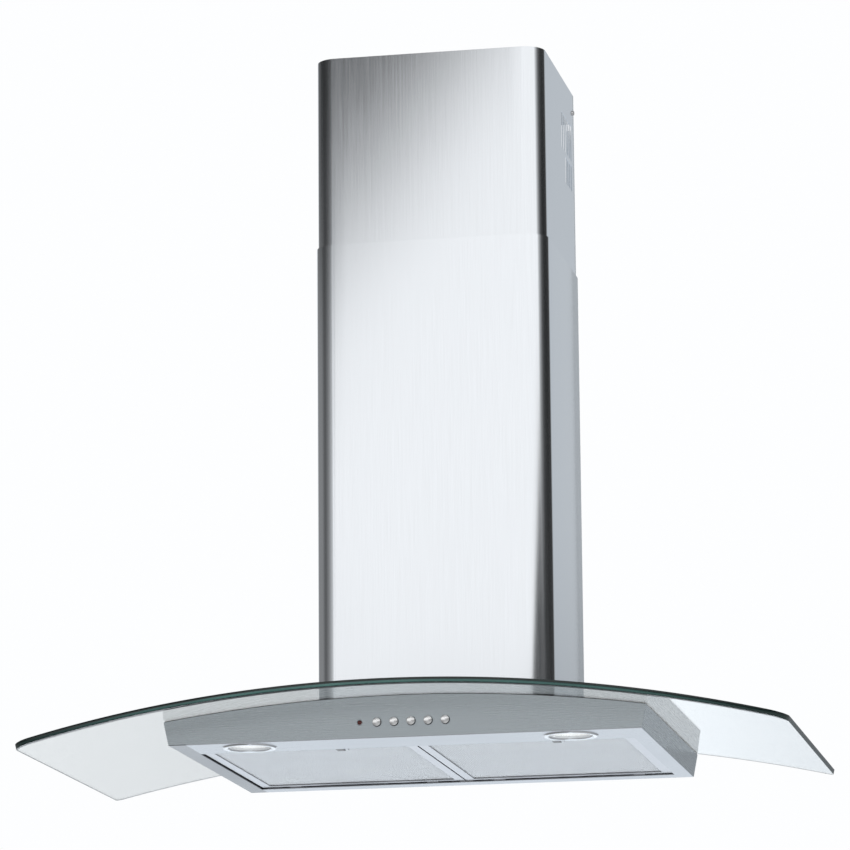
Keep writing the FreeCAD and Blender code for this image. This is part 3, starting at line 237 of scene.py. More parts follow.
# Overhead light
OVERHEAD_PLACE = (0.0, 2.0, 4.5)
OVERHEAD_AIM = (0.0, 2.5, -1.9)
OVERHEAD_SIZE = 8.0
OVERHEAD_POWER = 640.0


def span_of(node):
    """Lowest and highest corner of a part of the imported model, as arrays."""
    low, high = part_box(node)
    return np.array(low), np.array(high)


ARCH_TOP = span_of("glass_canopy")[1][2] - GLASS_SHEET


def arch(x):
    """Level of the glass underside: a circle of the arch radius, whose top is at x = 0."""
    return ARCH_TOP - GLASS_ARCH + np.sqrt(GLASS_ARCH ** 2 - x ** 2)


# Node trees

def feed(tree, socket, term):
    """Gives an input a plain value, or links it to the output that the term is."""
    if isinstance(term, bpy.types.NodeSocket):
        tree.links.new(term, socket)
    else:
        socket.default_value = term


def add(tree, kind, **values):
    """A node with its settings; a key that isn't a setting is an input's value or the link into it."""
    node = tree.nodes.new(kind)
    for key, value in values.items():
        if hasattr(node, key):
            setattr(node, key, value)
        else:
            feed(tree, node.inputs[key.replace("_", " ")], value)
    return node


def calc(tree, operation, *terms):
    """Result of one arithmetic step on numbers or sockets."""
    node = tree.nodes.new("ShaderNodeMath")
    node.operation = operation
    for socket, term in zip(node.inputs, terms):
        feed(tree, socket, term)
    return node.outputs[0]


def product(tree, *factors):
    """Product of numbers or sockets."""
    return reduce(lambda result, factor: calc(tree, "MULTIPLY", result, factor), factors)


def largest(tree, *levels):
    """Largest of several levels."""
    return reduce(lambda result, level: calc(tree, "MAXIMUM", result, level), levels)


def between(tree, share, first, second):
    """Level that lies a share of the way from the first to the second."""
    return calc(tree, "MULTIPLY_ADD", share, calc(tree, "SUBTRACT", second, first), first)


def ramp(tree, value, low, high, to_low=0.0, to_high=1.0):
    """Smooth change of a value from one level to another."""
    node = tree.nodes.new("ShaderNodeMapRange")
    node.interpolation_type = "SMOOTHSTEP"
    for socket, term in zip(node.inputs, (value, low, high, to_low, to_high)):
        feed(tree, socket, term)
    return node.outputs[0]


def stops(tree, degrees, points):
    """Level that runs straight from stop to stop, each (degrees, level)."""
    node = tree.nodes.new("ShaderNodeValToRGB")
    tree.links.new(calc(tree, "MULTIPLY_ADD", degrees, 1 / FULL_TURN, 0.5), node.inputs[0])
    bar = node.color_ramp.elements
    for index, (turn, level) in enumerate(points):
        place = turn / FULL_TURN + 0.5
        stop = bar[index] if index < 2 else bar.new(place)
        stop.position = place
        stop.color = (level, level, level, 1.0)
    return calc(tree, "ADD", node.outputs[0], 0.0)


def blend_colours(tree, share, first, second):
    """Mix of two colours by a share."""
    node = tree.nodes.new("ShaderNodeMix")
    node.data_type = "RGBA"
    feed(tree, node.inputs[0], share)
    for socket, colour in ((node.inputs[6], first), (node.inputs[7], second)):
        feed(tree, socket, (*colour, 1.0) if isinstance(colour, tuple) else colour)
    return node.outputs[2]


def mix_shaders(tree, share, first, second):
    """Mix of two shader nodes by a share."""
    node = tree.nodes.new("ShaderNodeMixShader")
    for socket, term in zip(node.inputs, (share, first.outputs[0], second.outputs[0])):
        feed(tree, socket, term)
    return node.outputs[0]


def new_group(name, inputs, outputs):
    """Shader node group with a Vector, inputs (name, value) and outputs; returns its tree and both ends' sockets."""
    tree = bpy.data.node_groups.new(name, "ShaderNodeTree")
    for socket, value in (("Vector", (0, 0, 0)), *inputs):
        kind = "NodeSocketVector" if isinstance(value, tuple) else "NodeSocketFloat"
        tree.interface.new_socket(socket, in_out="INPUT", socket_type=kind).default_value = value
    for socket in outputs:
        tree.interface.new_socket(socket, in_out="OUTPUT", socket_type="NodeSocketFloat")
    return tree, tree.nodes.new("NodeGroupInput").outputs, tree.nodes.new("NodeGroupOutput").inputs


def vector_step(tree, operation, first, second):
    """Result of one step on a vector and another vector or a scale."""
    node = add(tree, "ShaderNodeVectorMath", operation=operation)
    feed(tree, node.inputs[0], first)
    feed(tree, node.inputs["Scale" if operation == "SCALE" else 1], second)
    return node.outputs[0]


def evened(tree, noise):
    """A noise's usual span, drawn out to 0 and 1."""
    return ramp(tree, noise, 0.3, 0.7)


def make_brush_group():
    """Brushed grain: noise of two finenesses drawn out along the strokes, and slow clouds."""
    tree, start, end = new_group("brushed_grain", (("Strokes", (8, 8, 900)), ("Clouds", 5.0)), ("Grain", "Cloud"))
    place = start["Vector"]
    drawn = vector_step(tree, "MULTIPLY", place, start["Strokes"])
    coarse = add(tree, "ShaderNodeTexNoise", Vector=drawn, Scale=1.0, Detail=4.0, Roughness=0.7)
    fine = add(tree, "ShaderNodeTexNoise", Vector=drawn, Scale=3.1, Detail=2.0, Roughness=0.6)
    mixed = calc(tree, "MULTIPLY_ADD", fine.outputs["Fac"], 0.5, product(tree, coarse.outputs["Fac"], 0.5))
    cloud = add(tree, "ShaderNodeTexNoise", Vector=place, Scale=start["Clouds"], Detail=3.0)
    tree.links.new(evened(tree, mixed), end["Grain"])
    tree.links.new(evened(tree, cloud.outputs["Fac"]), end["Cloud"])
    return tree


def make_grain_group():
    """Moulded or cast skin: small bumps of two kinds, and slow clouds."""
    tree, start, end = new_group("moulded_grain", (("Size", 900.0), ("Clouds", 12.0)), ("Grain", "Cloud"))
    place, size = start["Vector"], start["Size"]
    noise = add(tree, "ShaderNodeTexNoise", Vector=place, Scale=size, Detail=3.0)
    cells = add(tree, "ShaderNodeTexVoronoi", Vector=place, Scale=size)
    both = calc(tree, "MULTIPLY_ADD", noise.outputs["Fac"], 0.6, product(tree, cells.outputs["Distance"], 0.4))
    cloud = add(tree, "ShaderNodeTexNoise", Vector=place, Scale=start["Clouds"], Detail=4.0)
    tree.links.new(both, end["Grain"])
    tree.links.new(evened(tree, cloud.outputs["Fac"]), end["Cloud"])
    return tree


def make_spangle_group():
    """Zinc spangle: flat crystals of several tones with wavy outlines, and faint veins."""
    tree, start, end = new_group("zinc_spangle", (("Crystals", 90.0),), ("Tone", "Vein"))
    place = start["Vector"]
    bent = add(tree, "ShaderNodeTexNoise", Vector=place, Scale=60.0, Detail=2.0)
    moved = vector_step(tree, "ADD", place, vector_step(tree, "SCALE", bent.outputs["Color"], 0.01))
    cells = add(tree, "ShaderNodeTexVoronoi", Vector=moved, Scale=start["Crystals"])
    grey = add(tree, "ShaderNodeRGBToBW", Color=cells.outputs["Color"])
    veins = add(tree, "ShaderNodeTexNoise", Vector=moved, Scale=400.0, Detail=3.0)
    tree.links.new(grey.outputs[0], end["Tone"])
    tree.links.new(veins.outputs["Fac"], end["Vein"])
    return tree


BRUSHED = make_brush_group()
MOULDED = make_grain_group()
SPANGLE = make_spangle_group()


def object_place(tree):
    """Place on the object, in its own coordinates."""
    return tree.nodes.new("ShaderNodeTexCoord").outputs["Object"]


def new_material(name):
    """A new material and its node tree."""
    material = bpy.data.materials.new(name)
    material.use_nodes = True
    return material, material.node_tree


def new_finish(name, group, **values):
    """Material with a Principled shader and a node group on the object's place; returns the material, its tree,
    shader and the group's outputs."""
    material, tree = new_material(name)
    field = add(tree, "ShaderNodeGroup", node_tree=group, Vector=object_place(tree), **values).outputs
    return material, tree, tree.nodes["Principled BSDF"], field


def paint(tree, shader, base, rough, **constants):
    """Feeds a shader's colour and roughness, and sets other inputs to constants."""
    feed(tree, shader.inputs["Base Color"], base)
    feed(tree, shader.inputs["Roughness"], rough)
    for key, value in constants.items():
        shader.inputs[key.replace("_", " ")].default_value = value


def add_bump(tree, shader, height, strength, depth):
    """Relief of a height field on the shader's normal."""
    bump = add(tree, "ShaderNodeBump", Strength=strength, Distance=depth, Height=height)
    tree.links.new(bump.outputs["Normal"], shader.inputs["Normal"])


def tone(colour, factor):
    """Colour made lighter or darker."""
    return tuple(channel * factor for channel in colour)


def brushed_steel(name, colour, roughness, strokes, anisotropy=0.0, relief=0.12, painted_reflection_margin=0.0):
    """Brushed stainless steel: fine strokes and a soft cloud of handling. On the round-cornered sheets the
    reflections are drawn out across the strokes; the painted reflection margin darkens the colour in a strip left of
    the given place, a painted dark reflection on the flat sheet."""
    material, tree, shader, field = new_finish(name, BRUSHED, Strokes=strokes, Clouds=4.0)
    base = blend_colours(tree, field["Grain"], tone(colour, 0.965), tone(colour, 1.03))
    if painted_reflection_margin:
        # Painted reflection: the colour is darkened in a strip left of the given place, for a dark reflection along
        # the sheet's left edge
        x = add(tree, "ShaderNodeSeparateXYZ", Vector=object_place(tree)).outputs["X"]
        strip = ramp(tree, x, painted_reflection_margin + MM, painted_reflection_margin - MM)
        base = blend_colours(tree, strip, base, tone(colour, 0.5))
    rough = ramp(tree, field["Grain"], 0.0, 1.0, roughness * 0.9, roughness * 1.1)
    rough = calc(tree, "MULTIPLY_ADD", field["Cloud"], roughness * 0.16, rough)
    paint(tree, shader, base, rough, Metallic=1.0)
    if anisotropy:
        shader.inputs["Anisotropic"].default_value = anisotropy
        shader.inputs["Anisotropic Rotation"].default_value = 0.25
        tangent = add(tree, "ShaderNodeTangent", direction_type="RADIAL", axis="Z")
        tree.links.new(tangent.outputs[0], shader.inputs["Tangent"])
    add_bump(tree, shader, field["Grain"], relief, BRUSH_DEPTH)
    return material


def plain_metal(name, colour, roughness, grain_size=700.0, variation=0.12, relief=0.15):
    """Satin metal with a fine cast or rolled skin."""
    material, tree, shader, field = new_finish(name, MOULDED, Size=grain_size, Clouds=18.0)
    base = blend_colours(tree, field["Cloud"], tone(colour, 1 - variation), tone(colour, 1 + variation / 3))
    rough = ramp(tree, field["Cloud"], 0.0, 1.0, roughness * 0.85, roughness * 1.2)
    paint(tree, shader, base, rough, Metallic=1.0)
    add_bump(tree, shader, field["Grain"], relief, CAST_DEPTH)
    return material


def zinc_sheet(name):
    """Galvanised sheet with its crystals."""
    material, tree, shader, field = new_finish(name, SPANGLE, Crystals=85.0)
    base = blend_colours(tree, field["Tone"], (0.50, 0.52, 0.54), (0.66, 0.68, 0.69))
    paint(tree, shader, base, ramp(tree, field["Tone"], 0.0, 1.0, 0.32, 0.5), Metallic=0.9)
    add_bump(tree, shader, field["Vein"], 0.1, CAST_DEPTH)
    return material


def moulded_plastic(name, colour, roughness):
    """Injection moulded plastic with a fine spark-eroded skin."""
    material, tree, shader, field = new_finish(name, MOULDED, Size=1100.0, Clouds=14.0)
    base = blend_colours(tree, field["Cloud"], tone(colour, 0.86), tone(colour, 1.12))
    paint(tree, shader, base, ramp(tree, field["Grain"], 0.2, 0.8, roughness * 0.85, roughness * 1.15))
    add_bump(tree, shader, field["Grain"], 0.25, MOULD_DEPTH)
    return material


def clear_glass(name):
    """Toughened float glass, faintly green, with a trace of wiping on its faces."""
    material, tree, shader, field = new_finish(name, MOULDED, Size=30.0, Clouds=6.0)
    base = blend_colours(tree, field["Cloud"], (0.938, 0.966, 0.968), (0.950, 0.976, 0.978))
    rough = ramp(tree, field["Cloud"], 0.2, 1.0, 0.0, 0.02)
    paint(tree, shader, base, rough, Transmission_Weight=1.0, IOR=GLASS_INDEX)
    return material


def glass_rim(name):
    """Ground rim: the long way through the pane shows dark green, the glass's own colour, with a paler streak low in
    its thickness that fades towards the glass's ends; the streak is a painted highlight. The height in the pane is
    (z - arch level) / sheet."""
    material, tree, shader, field = new_finish(name, BRUSHED, Strokes=(30.0, 30.0, 2500.0), Clouds=9.0)
    x, _, z = add(tree, "ShaderNodeSeparateXYZ", Vector=object_place(tree)).outputs
    drop = calc(tree, "MULTIPLY_ADD", product(tree, x, -1.0), x, GLASS_ARCH ** 2)
    level = calc(tree, "ADD", calc(tree, "SQRT", drop), float(ARCH_TOP) - GLASS_ARCH)
    height = calc(tree, "DIVIDE", calc(tree, "SUBTRACT", z, level), GLASS_SHEET)
    off = calc(tree, "ABSOLUTE", x)
    # Painted highlight: a paler streak low in the rim's thickness, brightest in the middle of the glass, over the
    # glass's dark green
    streak = product(tree, ramp(tree, height, 0.02, 0.16), ramp(tree, height, 0.62, 0.44),
                     ramp(tree, off, GLASS_HALF, GLASS_HALF / 4, 0.1, 1.0),
                     ramp(tree, field["Cloud"], 0.0, 1.0, 0.7, 1.0))
    base = blend_colours(tree, streak, (0.003, 0.012, 0.011), (0.10, 0.23, 0.21))
    paint(tree, shader, base, ramp(tree, field["Grain"], 0.0, 1.0, 0.10, 0.22), IOR=GLASS_INDEX)
    add_bump(tree, shader, field["Grain"], 0.05, BRUSH_DEPTH)
    return material


def frosted_lens(name):
    """Frosted lamp glass with a painted glow: it gives off a little light of its own colour, which stands in for the
    light that the lamp cup throws back.
    """
    material, tree, shader, field = new_finish(name, MOULDED, Size=1500.0, Clouds=40.0)
    base = blend_colours(tree, field["Cloud"], (0.80, 0.82, 0.82), (0.88, 0.89, 0.89))
    # Painted glow: a weak emission in the lens's own colour
    paint(tree, shader, base, ramp(tree, field["Grain"], 0.2, 0.8, 0.22, 0.36), Emission_Strength=0.20,
          Transmission_Weight=0.4, IOR=GLASS_INDEX)
    tree.links.new(base, shader.inputs["Emission Color"])
    add_bump(tree, shader, field["Grain"], 0.2, MOULD_DEPTH)
    return material


def coloured_lens(name, dark, light):
    """Moulded coloured lens with depth in its tone."""
    material, tree, shader, field = new_finish(name, MOULDED, Size=600.0, Clouds=120.0)
    base = blend_colours(tree, field["Cloud"], dark, light)
    paint(tree, shader, base, ramp(tree, field["Grain"], 0.2, 0.8, 0.06, 0.16), Coat_Weight=0.6)
    return material


def board_lacquer(name):
    """Circuit board: green lacquer over copper tracks that run square to each other."""
    material, tree, shader, field = new_finish(name, MOULDED, Size=900.0, Clouds=30.0)
    tracks = add(tree, "ShaderNodeTexBrick", Vector=object_place(tree), Scale=160.0,
                 Color1=(0.030, 0.130, 0.060, 1.0), Color2=(0.040, 0.160, 0.080, 1.0),
                 Mortar=(0.090, 0.240, 0.100, 1.0))
    paint(tree, shader, tracks.outputs["Color"], ramp(tree, field["Grain"], 0.2, 0.8, 0.25, 0.4))
    add_bump(tree, shader, tracks.outputs["Fac"], 0.3, MOULD_DEPTH)
    return material


STEEL = (0.785, 0.812, 0.845)
# Strokes of the brushing: noise cells per metre along x, y and z, few of them along the strokes
ALONG_X = (9.0, 1600.0, 1600.0)
ROUND_Z = (9.0, 9.0, 1500.0)
ALONG_Z = (800.0, 800.0, 6.0)
SLEEVE = {"roughness": 0.115, "strokes": ALONG_Z, "anisotropy": 0.6}
FINISHES = {
    "steel_chimney_upper": (brushed_steel, dict(colour=tone(STEEL, 1.04), relief=0.22, **SLEEVE)),
    "steel_chimney_lower": (brushed_steel, dict(colour=tone(STEEL, 1.06), relief=0.06, **SLEEVE)),
    "steel_body": (brushed_steel, dict(colour=(0.70, 0.77, 0.81), roughness=0.27, strokes=ROUND_Z)),
    # Painted light: the side casing's steel is a lighter copy of the body's, for the brighter tone its face shows in
    # this light
    "steel_side": (brushed_steel, dict(colour=(0.80, 0.85, 0.88), roughness=0.25, strokes=ROUND_Z)),
    # The base panel's margin is a painted dark reflection: a darker strip along its left edge, beside the left filter
    # frame
    "steel_base": (brushed_steel, dict(colour=(0.60, 0.625, 0.66), roughness=0.28, strokes=ALONG_X,
                                       painted_reflection_margin=float(span_of("filter_frame_left")[0][0]) - MM)),
    "clear_glass": (clear_glass, {}),
    "glass_rim": (glass_rim, {}),
    "zinc_sheet": (zinc_sheet, {}),
    "filter_aluminium": (plain_metal, dict(colour=(0.75, 0.765, 0.80), roughness=0.34)),
    "filter_mesh": (plain_metal, dict(colour=(0.96, 0.98, 1.0), roughness=0.34, variation=0.02)),
    "latch_plastic": (moulded_plastic, dict(colour=(0.16, 0.165, 0.17), roughness=0.42)),
    "chrome_trim": (plain_metal, dict(colour=(0.74, 0.755, 0.78), roughness=0.14, grain_size=400.0,
                                      variation=0.04, relief=0.04)),
    "button_chrome": (plain_metal, dict(colour=(0.95, 0.955, 0.96), roughness=0.16, grain_size=400.0,
                                        variation=0.02, relief=0.03)),
    "lamp_glass": (frosted_lens, {}),
    "lamp_bulb": (moulded_plastic, dict(colour=(0.85, 0.84, 0.78), roughness=0.25)),
    "indicator_lens": (coloured_lens, dict(dark=(0.05, 0.006, 0.005), light=(0.16, 0.015, 0.012))),
    "lamp_housing": (plain_metal, dict(colour=(0.88, 0.88, 0.88), roughness=0.16, grain_size=500.0,
                                       variation=0.06, relief=0.06)),
    "fan_plastic": (moulded_plastic, dict(colour=(0.045, 0.048, 0.052), roughness=0.45)),
    "black_plastic": (moulded_plastic, dict(colour=(0.014, 0.014, 0.016), roughness=0.4)),
    "board": (board_lacquer, {}),
    "transformer": (plain_metal, dict(colour=(0.36, 0.37, 0.38), roughness=0.5, grain_size=900.0,
                                      variation=0.2, relief=0.3)),
    "motor": (plain_metal, dict(colour=(0.42, 0.43, 0.44), roughness=0.42, grain_size=800.0, variation=0.2,
                                relief=0.3)),
    "shaft_steel": (plain_metal, dict(colour=(0.66, 0.66, 0.67), roughness=0.28, grain_size=900.0,
                                      variation=0.15, relief=0.1)),
    "gasket_rubber": (moulded_plastic, dict(colour=(0.012, 0.012, 0.012), roughness=0.62)),
}
MATERIALS = {name: maker(name, **values) for name, (maker, values) in FINISHES.items()}
SLOT_MATERIAL = {"brushed_steel": "steel_body"}
NODE_MATERIAL = {"base_panel": "steel_base", "canopy_casing": "steel_side", "chimney_upper": "steel_chimney_upper",
                 "chimney_lower": "steel_chimney_lower"}


def dress_nodes():
    """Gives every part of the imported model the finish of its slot, or its own where it has one."""
    for entry in frame["record"]["subparts"]:
        name, slot = entry["node"], entry["material_slot"]
        material = NODE_MATERIAL.get(name) or SLOT_MATERIAL.get(slot, slot)
        mesh = frame["nodes"][name].data
        mesh.materials.clear()
        mesh.materials.append(MATERIALS[material])


# Pieces

def put(name, data):
    """Object of a mesh, light or camera, placed in the scene."""
    thing = bpy.data.objects.new(name, data)
    bpy.context.scene.collection.objects.link(thing)
    return thing


def new_piece(name, vertices, faces, material, body, replaced=(), smooth=True):
    """Object of the given points and faces, welded, dressed and riding on its body."""
    mesh = bpy.data.meshes.new(name)
    mesh.from_pydata(np.asarray(vertices, float).reshape(-1, 3), [], np.asarray(faces, int).tolist())
    work = bmesh.new()
    work.from_mesh(mesh)
    bmesh.ops.remove_doubles(work, verts=work.verts, dist=WELD)
    bmesh.ops.dissolve_degenerate(work, edges=work.edges, dist=WELD)
    loose = [vertex for vertex in work.verts if not vertex.link_faces]
    bmesh.ops.delete(work, geom=loose, context="VERTS")
    work.to_mesh(mesh)
    work.free()
    mesh.polygons.foreach_set("use_smooth", np.full(len(mesh.polygons), smooth))
    mesh.materials.append(MATERIALS[material])
    piece = put(name, mesh)
    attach(piece, body)
    if replaced:
        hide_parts(*replaced)
    return piece


def grid_faces(rows, columns, wrap=False, keep=None):
    """Quads between the points of a grid; wrap joins the last column to the first."""
    index = np.arange(rows * columns).reshape(rows, columns)
    if wrap:
        index = np.hstack([index, index[:, :1]])
    faces = np.stack([index[:-1, :-1], index[:-1, 1:], index[1:, 1:], index[1:, :-1]], axis=-1)
    if keep is not None:
        faces = faces[keep]
    return faces.reshape(-1, 4)


def crisp(mesh, angle):
    """Keeps the edges of a smooth mesh crisp where they are sharper than the angle, in degrees."""
    mesh.set_sharp_from_angle(angle=math.radians(angle))


def settle(piece, angle=SHARP):
    """Takes a piece's modifiers into its mesh, and keeps its sharp edges crisp."""
    view = bpy.context.evaluated_depsgraph_get()
    mesh = bpy.data.meshes.new_from_object(piece.evaluated_get(view))
    piece.modifiers.clear()
    piece.data = mesh
    crisp(mesh, angle)


def turn_outwards(piece, angle=SHARP):
    """Points all faces of a closed piece outwards, and keeps its sharp edges crisp."""
    work = bmesh.new()
    work.from_mesh(piece.data)
    bmesh.ops.recalc_face_normals(work, faces=work.faces)
    work.to_mesh(piece.data)
    work.free()
    crisp(piece.data, angle)


def rounded(points, radius, steps=6):
    """Outline whose inner corners are arcs: each corner is cut back and a circle fitted between the cuts."""
    points = [np.asarray(point, float) for point in points]
    result = [points[0]]
    for before, corner, after in zip(points, points[1:], points[2:]):
        back = (before - corner) / np.linalg.norm(before - corner)
        ahead = (after - corner) / np.linalg.norm(after - corner)
        opening = math.acos(np.clip(back @ ahead, -1, 1))
        room = CORNER_SHARE * min(np.linalg.norm(before - corner), np.linalg.norm(after - corner))
        cut = min(radius / math.tan(opening / 2), room)
        real = cut * math.tan(opening / 2)
        middle = corner + (back + ahead) / np.linalg.norm(back + ahead) * real / math.sin(opening / 2)
        first = corner + back * cut - middle
        last = corner + ahead * cut - middle
        sweep = math.pi - opening
        for share in (step / steps for step in range(steps + 1)):
            arm = first * math.sin((1 - share) * sweep) + last * math.sin(share * sweep)
            result.append(middle + arm / math.sin(sweep))
    result.append(points[-1])
    return np.array(result)


def lathe(name, outline, centre, axis, material, body, replaced=(), turns=64):
    """Turned piece: the outline's (radius, travel) points swept round an axis through the centre."""
    axis = np.asarray(axis, float)
    side = np.array((0.0, 0.0, 1.0)) if abs(axis[2]) < 0.5 else np.array((1.0, 0.0, 0.0))
    other = np.cross(axis, side)
    angle = TAU * np.arange(turns) / turns
    spoke = np.cos(angle)[:, None] * side + np.sin(angle)[:, None] * other
    outline = np.asarray(outline, float)
    points = outline[:, 0, None, None] * spoke[None] + outline[:, 1, None, None] * axis + np.asarray(centre)
    piece = new_piece(name, points, grid_faces(len(outline), turns, wrap=True), material, body, replaced)
    turn_outwards(piece)
    return piece


def chimney_path(half, front, rear, vents):
    """Plan of a folded chimney sheet, from its left rear return round the front to the right one: small bends at
    the rear, points at the vents' edges on the sides, and quarter circles at the front corners."""
    bend = rounded([(-half + CHIMNEY_RETURN, rear), (-half, rear), (-half, (front + rear) / 2)], CHIMNEY_BEND, steps=4)
    side = np.array([(-half, y) for y in reversed(vents)]).reshape(-1, 2)
    arc = CHIMNEY_CORNER + (0 if vents else CHIMNEY_STEP)
    turn = np.linspace(0, math.pi / 2, CHIMNEY_CORNER_POINTS)
    corner = np.stack([-half + arc - arc * np.cos(turn), front + arc - arc * np.sin(turn)], axis=1)
    across = np.linspace(-half + arc, 0, CHIMNEY_HALF_POINTS)[1:]
    left = np.vstack([bend[:-1], side, corner, np.stack([across, np.full_like(across, front)], axis=1)])
    return np.vstack([left, left[::-1][1:] * np.array((-1.0, 1.0))])


def make_chimney(name, node, body, material, vented):
    """Chimney sheet: its plan path carried up in straight lines, with the vent slots left out, then thickened.
    The lower sheet's foot follows the glass: z = foot + (top - foot) * share of the height."""
    low, high = span_of(node)
    half, rear, top = high
    slots = []
    for drop, height, count in VENT_ROWS if vented else ():
        for index in range(count):
            y = rear - VENT_REAR - index * VENT_PITCH
            slots.append((y - VENT_WIDTH, y, top - drop, top - drop + height))
    path = chimney_path(half, low[1], rear, sorted({round(y, DIGITS) for slot in slots for y in slot[:2]}))
    levels = {round(z, DIGITS) for slot in slots for z in slot[2:]}
    levels |= {round(z, DIGITS) for z in np.linspace(low[2], top, CHIMNEY_LEVELS)}
    levels = np.array(sorted(levels))
    points = np.empty((len(levels), len(path), 3))
    points[..., :2] = path[None]
    points[..., 2] = levels[:, None]
    if not vented:
        foot = arch(path[:, 0]) + GLASS_SHEET + CHIMNEY_FOOT_GAP
        share = (levels - levels[0]) / (levels[-1] - levels[0])
        points[..., 2] = foot[None] + (levels[-1] - foot[None]) * share[:, None]
    x, y, z = np.moveaxis((points[:-1, :-1] + points[1:, 1:]) / 2, -1, 0)
    keep = np.ones(x.shape, bool)
    for near, far, bottom, head in slots:
        keep &= ~((y > near) & (y < far) & (z > bottom) & (z < head) & (np.abs(np.abs(x) - half) < MM))
    if vented:
        keep &= ~((y > rear - RETURN_PLANE) & (z > top - CHIMNEY_CUTBACK))
    faces = grid_faces(*points.shape[:2], keep=keep)
    piece = new_piece(name, points, faces, material, body, (node,))
    shell = piece.modifiers.new("sheet", "SOLIDIFY")
    shell.thickness = CHIMNEY_SHEET
    shell.offset = -1.0
    shell.use_even_offset = True
    settle(piece)


def corner_fall(x, half, radius):
    """How far a rounded corner lies behind its straight edge: radius - sqrt(radius ** 2 - past ** 2)."""
    past = np.clip(np.abs(x) - (half - radius), 0, radius)
    return radius - np.sqrt(radius ** 2 - past ** 2)


def make_glass():
    """Arched pane: columns run from the bowed, round-cornered front to the rear, rows of even share between
    the front, the throat's two edges and the rear; the level follows the arch, and the sheet is thickened upwards.
    The lower face is narrower by the sheet's outward lean, half / (1 + sheet / arch), so the top is at full width."""
    throat_low, throat_high = span_of("box_gasket")
    throat_low = throat_low + THROAT_INSET
    throat_high = throat_high - THROAT_INSET
    half = GLASS_HALF / (1 + GLASS_SHEET / GLASS_ARCH)
    corner = GLASS_FRONT_CORNER
    over, beside, round_corner = GLASS_COLUMNS
    ends = half - corner + corner * np.sin(np.linspace(0, math.pi / 2, round_corner))
    half_x = np.concatenate([np.linspace(0, throat_high[0], over)[:-1],
                             np.linspace(throat_high[0], half - corner, beside)[:-1], ends])
    x = np.concatenate([-half_x[::-1][:-1], half_x])
    bow_radius = (GLASS_HALF ** 2 + GLASS_BOW ** 2) / (2 * GLASS_BOW)
    front = bow_radius - GLASS_DEPTH - np.sqrt(bow_radius ** 2 - x ** 2) + corner_fall(x, half, corner)
    rear = -corner_fall(x, half, GLASS_REAR_CORNER)
    lines = (front, np.full_like(x, throat_low[1]), np.full_like(x, throat_high[1]), rear)
    rows = [start + (end - start) * share for start, end, count in zip(lines, lines[1:], GLASS_ROWS)
            for share in np.linspace(0, 1, count + 1)[:-1]]
    y = np.array([*rows, rear])
    points = np.empty((*y.shape, 3))
    points[..., 0] = x[None]
    points[..., 1] = y
    points[..., 2] = arch(x)[None]
    middle = (points[:-1, :-1] + points[1:, 1:]) / 2
    throat = (np.abs(middle[..., 0]) < throat_high[0]) & (middle[..., 1] > throat_low[1])
    throat &= middle[..., 1] < throat_high[1]
    faces = grid_faces(*y.shape, keep=~throat)[:, ::-1]
    piece = new_piece("glass_pane", points, faces, "clear_glass", "hood", ("glass_canopy",))
    piece.data.materials.append(MATERIALS["glass_rim"])
    sheet = piece.modifiers.new("sheet", "SOLIDIFY")
    sheet.thickness = GLASS_SHEET
    sheet.offset = -1.0
    sheet.material_offset_rim = 1
    arris = piece.modifiers.new("arris", "BEVEL")
    arris.width = GLASS_ARRIS
    arris.segments = 3
    arris.limit_method = "ANGLE"
    arris.angle_limit = math.radians(GLASS_ARRIS_ANGLE)
    settle(piece, GLASS_SHARP)


def make_lamp(label):
    """Trim ring and lens of one recessed lamp, both turned. The ring's outline is rounded; the lens's face is
    edge - crown * (1 - (r / end) ** 2) + rib * sin(pi * r / pitch) ** 2."""
    ring = "lamp_ring_" + label
    low, high = span_of(ring)
    centre = (low + high) / 2
    place = np.array((centre[0], centre[1], 0.0))
    radius = (high[0] - low[0]) / 2
    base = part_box("base_panel")[0][2]
    bore = radius - RING_RIM
    neck = radius - RING_NECK
    foot, top = low[2], high[2]
    outline = [(bore, top), (bore, base - RING_INNER_STEP), (bore + RING_SLOPE, foot), (radius - RING_SLOPE, foot),
               (radius, base - RING_OUTER_STEP), (radius, base), (neck, base), (neck, top), (bore, top)]
    outline = rounded(outline, RING_ROUNDING, steps=4)
    lathe("trim_ring_" + label, outline, place, UP, "chrome_trim", "hood", (ring,), turns=96)
    lens = "lamp_glass_" + label
    low, high = span_of(lens)
    wide = (high[0] - low[0]) / 2
    edge, top = low[2] + LENS_EDGE, high[2]
    reach = np.linspace(0, bore - LENS_ROOM, LENS_POINTS)
    swell = LENS_CROWN * (1 - (reach / reach[-1]) ** 2)
    ribs = LENS_RIB * np.sin(reach / LENS_RIB_PITCH * TAU / 2) ** 2
    face = np.stack([reach, edge - swell + ribs], axis=1)
    outline = np.vstack([face, [(wide, edge), (wide, top), (0.0, top)]])
    lathe("lens_" + label, outline, place, UP, "lamp_glass", "hood", (lens,), turns=96)


def control_sizes(node):
    """Front point of the axis, radius and length of a control in the fascia."""
    low, high = span_of(node)
    centre = (low + high) / 2
    return np.array((centre[0], low[1], centre[2])), (high[0] - low[0]) / 2, high[1] - low[1]


